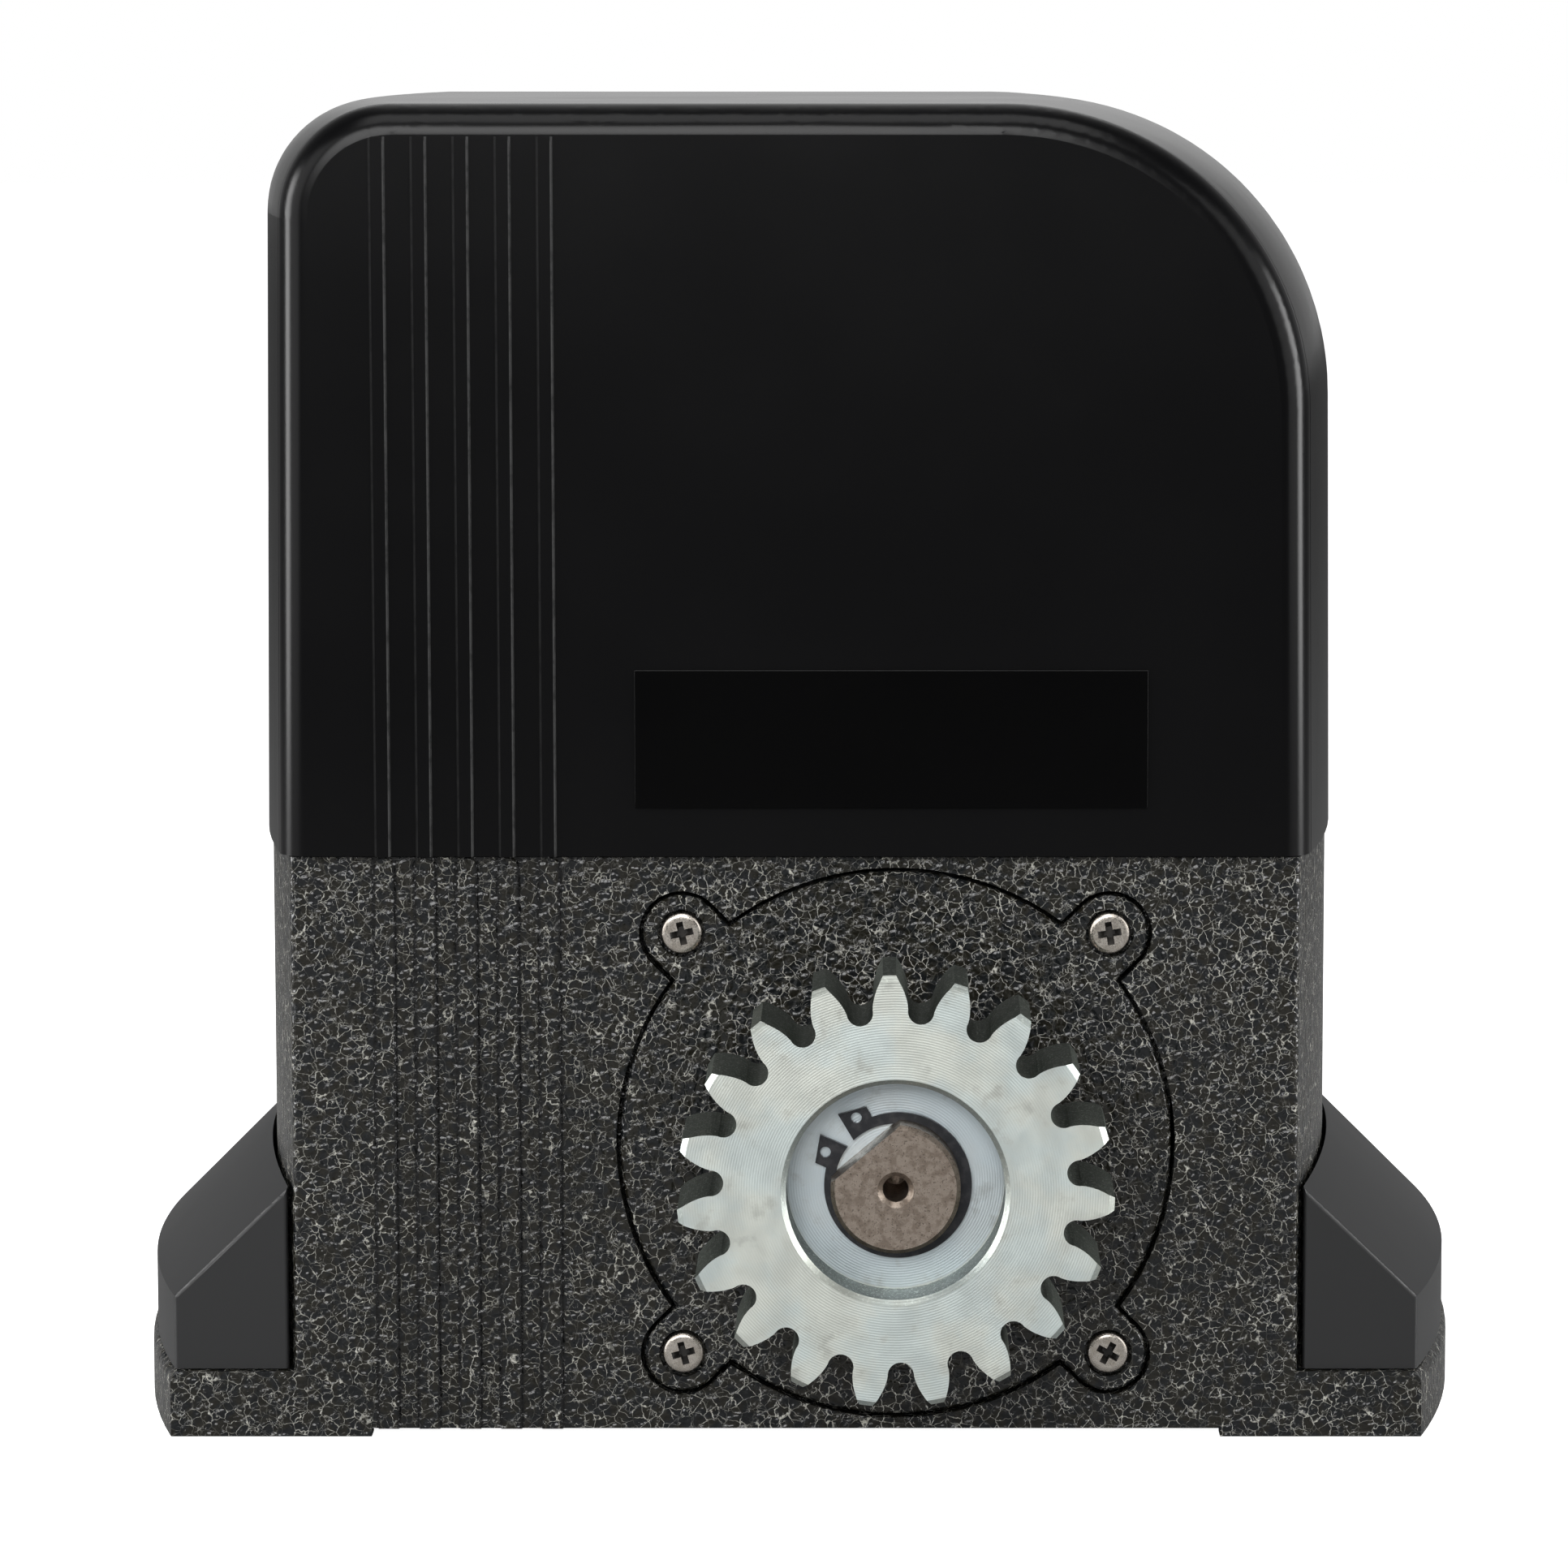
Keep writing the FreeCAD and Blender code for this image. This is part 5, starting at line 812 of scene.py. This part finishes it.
def pattern_tree():
    """Sets a piece on a grid, each turned about its axis by up to an angle."""
    tree = bpy.data.node_groups.new("piece_pattern", "GeometryNodeTree")
    for name, kind in PATTERN_INPUTS.items():
        tree.interface.new_socket(name, in_out="INPUT", socket_type="NodeSocket" + kind)
    tree.interface.new_socket("Geometry", in_out="OUTPUT", socket_type="NodeSocketGeometry")
    given = tree.nodes.new("NodeGroupInput")
    result = tree.nodes.new("NodeGroupOutput")
    link = tree.links.new
    grid = tree.nodes.new("GeometryNodeMeshGrid")
    for name, socket in GRID_INPUTS.items():
        link(given.outputs[name], grid.inputs[socket])
    piece = tree.nodes.new("GeometryNodeObjectInfo")
    link(given.outputs["Piece"], piece.inputs["Object"])
    turn = tree.nodes.new("FunctionNodeRandomValue")
    turn.data_type = "FLOAT_VECTOR"
    link(given.outputs["Turn"], turn.inputs["Max"])
    link(given.outputs["Seed"], turn.inputs["Seed"])
    setting = tree.nodes.new("GeometryNodeInstanceOnPoints")
    link(grid.outputs["Mesh"], setting.inputs["Points"])
    link(piece.outputs["Geometry"], setting.inputs["Instance"])
    link(turn.outputs["Value"], setting.inputs["Rotation"])
    real = tree.nodes.new("GeometryNodeRealizeInstances")
    link(setting.outputs["Instances"], real.inputs["Geometry"])
    slot = tree.nodes.new("GeometryNodeInputMaterialIndex")
    first = tree.nodes.new("FunctionNodeCompare")
    first.data_type = "INT"
    first.operation = "EQUAL"
    slot_number, wanted = [socket for socket in first.inputs if socket.type == "INT"]
    link(slot.outputs[0], slot_number)
    wanted.default_value = 0
    finish = tree.nodes.new("GeometryNodeSetMaterial")
    link(real.outputs["Geometry"], finish.inputs["Geometry"])
    link(first.outputs[0], finish.inputs["Selection"])
    link(given.outputs["Material"], finish.inputs["Material"])
    link(finish.outputs["Geometry"], result.inputs["Geometry"])
    return tree


PATTERN = pattern_tree()
print("pattern tree has", len(PATTERN.nodes), "nodes")

# %% [markdown]
# ## Using the pattern
# A node tree works on a host object, which is empty here. Its inputs are set
# by their identifiers, the result is copied to a plain mesh, and host and
# sample piece are thrown away.


# %% Pattern mesh
def input_key(tree, name):
    """The identifier of a tree's input, which a modifier is set by."""
    for item in tree.interface.items_tree:
        if item.item_type == "SOCKET" and item.in_out == "INPUT" and item.name == name:
            return item.identifier
    raise KeyError(name)


def pattern_mesh(name, piece, width, height, columns, rows, turn, seed, material):
    """The pattern's finished mesh, flat on XY round the origin."""
    base = bpy.data.objects.new(name + "_piece", piece)
    host = bpy.data.objects.new(name + "_host", bpy.data.meshes.new(name + "_host"))
    for helper in (base, host):
        bpy.context.scene.collection.objects.link(helper)
    pattern = host.modifiers.new("pattern", "NODES")
    pattern.node_group = PATTERN
    values = (base, width, height, columns, rows, (0.0, 0.0, turn), seed, material)
    for key, value in zip(PATTERN_INPUTS, values):
        pattern[input_key(PATTERN, key)] = value
    host.update_tag()
    bpy.context.view_layer.update()
    mesh = evaluated_mesh(host)
    for helper in (base, host):
        bpy.data.objects.remove(helper)
    return mesh


print("pattern inputs:", [input_key(PATTERN, name) for name in PATTERN_INPUTS])

# %% [markdown]
# ## Screw sets
# Each set takes the place of plain screws in the solid model. The box round
# those gives the spacing, and the depth at which the heads sit, so the new
# heads stay where the solids have them.


# %% Screws in place
def screws_on_face(name, node, screw, head, direction, columns, rows, seed, body):
    """Replaces a node's screws: 1 faces the front, -1 the back."""
    head_radius, head_height = head
    low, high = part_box(node)
    width = high.x - low.x - 2 * head_radius
    height = high.z - low.z - 2 * head_radius
    mesh = pattern_mesh(name, screw, width, height, columns, rows, math.pi / 2, seed, NICKEL)
    seat = low.y + head_height if direction > 0 else high.y - head_height
    turn = Matrix.Rotation(math.radians(90.0 * direction), 4, "X")
    centre = Matrix.Translation(((low.x + high.x) / 2, seat, (low.z + high.z) / 2))
    mesh.transform(centre @ turn)
    piece = put(name, mesh, body, "nickel_screw")
    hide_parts(node)
    return piece


BOARD_HEAD = (3.0 * MM, 1.8 * MM)
cover_screw = screw_mesh("cover_screw", *FLANGE_HEAD, 2.5 * MM, 12.0 * MM)
board_screw = screw_mesh("board_screw", *BOARD_HEAD, 1.4 * MM, 6.5 * MM)
screw_sets = [
    screws_on_face("flange_screw_set", "flange_screws", flange_screw, FLANGE_HEAD, 1, 2, 2, 4, "housing"),
    screws_on_face("cover_screw_set", "cover_screws", cover_screw, FLANGE_HEAD, -1, 2, 1, 7, "housing"),
    screws_on_face("board_screw_set", "board_screws", board_screw, BOARD_HEAD, -1, 2, 2, 9, "housing"),
]
print("screw sets:", [len(piece.data.polygons) for piece in screw_sets])

# %% [markdown]
# ## Small parts on the board
# Between the relays and the clamps sit the controller chip, two rows of
# resistors and a few electrolytic capacitors. They are too small to be
# solids of their own, but a bare board would look unfinished with the cover
# off. One of each is made, and the same pattern sets them out. The board's
# own box gives their places.


# %% Board parts
def in_mm(points):
    """A profile given in millimetres, in metres."""
    return [(radius * MM, height * MM) for radius, height in points]


def turned_mesh(profile, segments, turn=None):
    """A turned mesh, laid over by a matrix when one is given."""
    shape = turned(profile, segments)
    if turn is not None:
        bmesh.ops.transform(shape, matrix=turn, verts=shape.verts)
    return as_mesh("board_small_part", shape)


board_low, board_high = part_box("control_board")


def on_board(name, mesh, right, up, slot):
    """Stands a flat pattern on the board's face, from its lower corner."""
    turn = Matrix.Rotation(math.radians(-90.0), 4, "X")
    spot = Matrix.Translation((board_low.x + right, board_high.y, board_low.z + up))
    mesh.transform(spot @ turn)
    return put(name, mesh, "housing", slot)


half_resistor = [(1.0, 1.3), (1.2, 1.6), (1.2, 2.6), (0.9, 3.0), (0.0, 3.0)]
resistor_profile = in_mm([(r, -h) for r, h in reversed(half_resistor)] + half_resistor)
lay_down = Matrix.Translation((0, 0, 1.3 * MM)) @ Matrix.Rotation(math.pi / 2, 4, "X")
resistor = turned_mesh(resistor_profile, 16, lay_down)
RESISTOR_TAN = moulded_plastic("resistor_tan_finish", (0.50, 0.36, 0.20), 0.4)
resistors = pattern_mesh("board_resistors", resistor, 36.0 * MM, 9.0 * MM, 10, 2, 0.0, 1, RESISTOR_TAN)
small_parts = [on_board("board_resistors", resistors, 68.0 * MM, 42.0 * MM, "capacitor_white")]

can_wall = [(0.0, 0.0), (3.6, 0.0), (4.0, 0.5), (4.0, 9.4), (3.6, 10.0)]
can_top = [(3.0, 10.0), (2.9, 9.8), (0.0, 9.8)]
can = turned_mesh(in_mm(can_wall + can_top), 32)
CAN_BLUE = moulded_plastic("can_blue_finish", (0.015, 0.03, 0.09), 0.35)
cans = pattern_mesh("board_cans", can, 22.0 * MM, 0.0, 3, 1, 0.0, 2, CAN_BLUE)
small_parts.append(on_board("board_cans", cans, 58.0 * MM, 24.0 * MM, "relay_black"))

CHIP_RIGHT = 88.0 * MM
CHIP_UP = 27.0 * MM
chip = plate_mesh("board_chip", Vector((-14, -3.6, 0.6)) * MM, Vector((14, 3.6, 3.8)) * MM, 0.2 * MM)
chip.materials.append(RELAY_BLACK)
small_parts.append(on_board("board_chip", chip, CHIP_RIGHT, CHIP_UP, "relay_black"))
pin = plate_mesh("board_chip_pin", Vector((-0.3, -0.3, 0.0)) * MM, Vector((0.3, 0.3, 1.8)) * MM, 0.05 * MM)
pins = pattern_mesh("board_chip_pins", pin, 24.0 * MM, 7.8 * MM, 10, 2, 0.0, 3, BEARING_STEEL)
small_parts.append(on_board("board_chip_pins", pins, CHIP_RIGHT, CHIP_UP, "bearing_steel"))
print("board parts:", [part.name for part in small_parts])
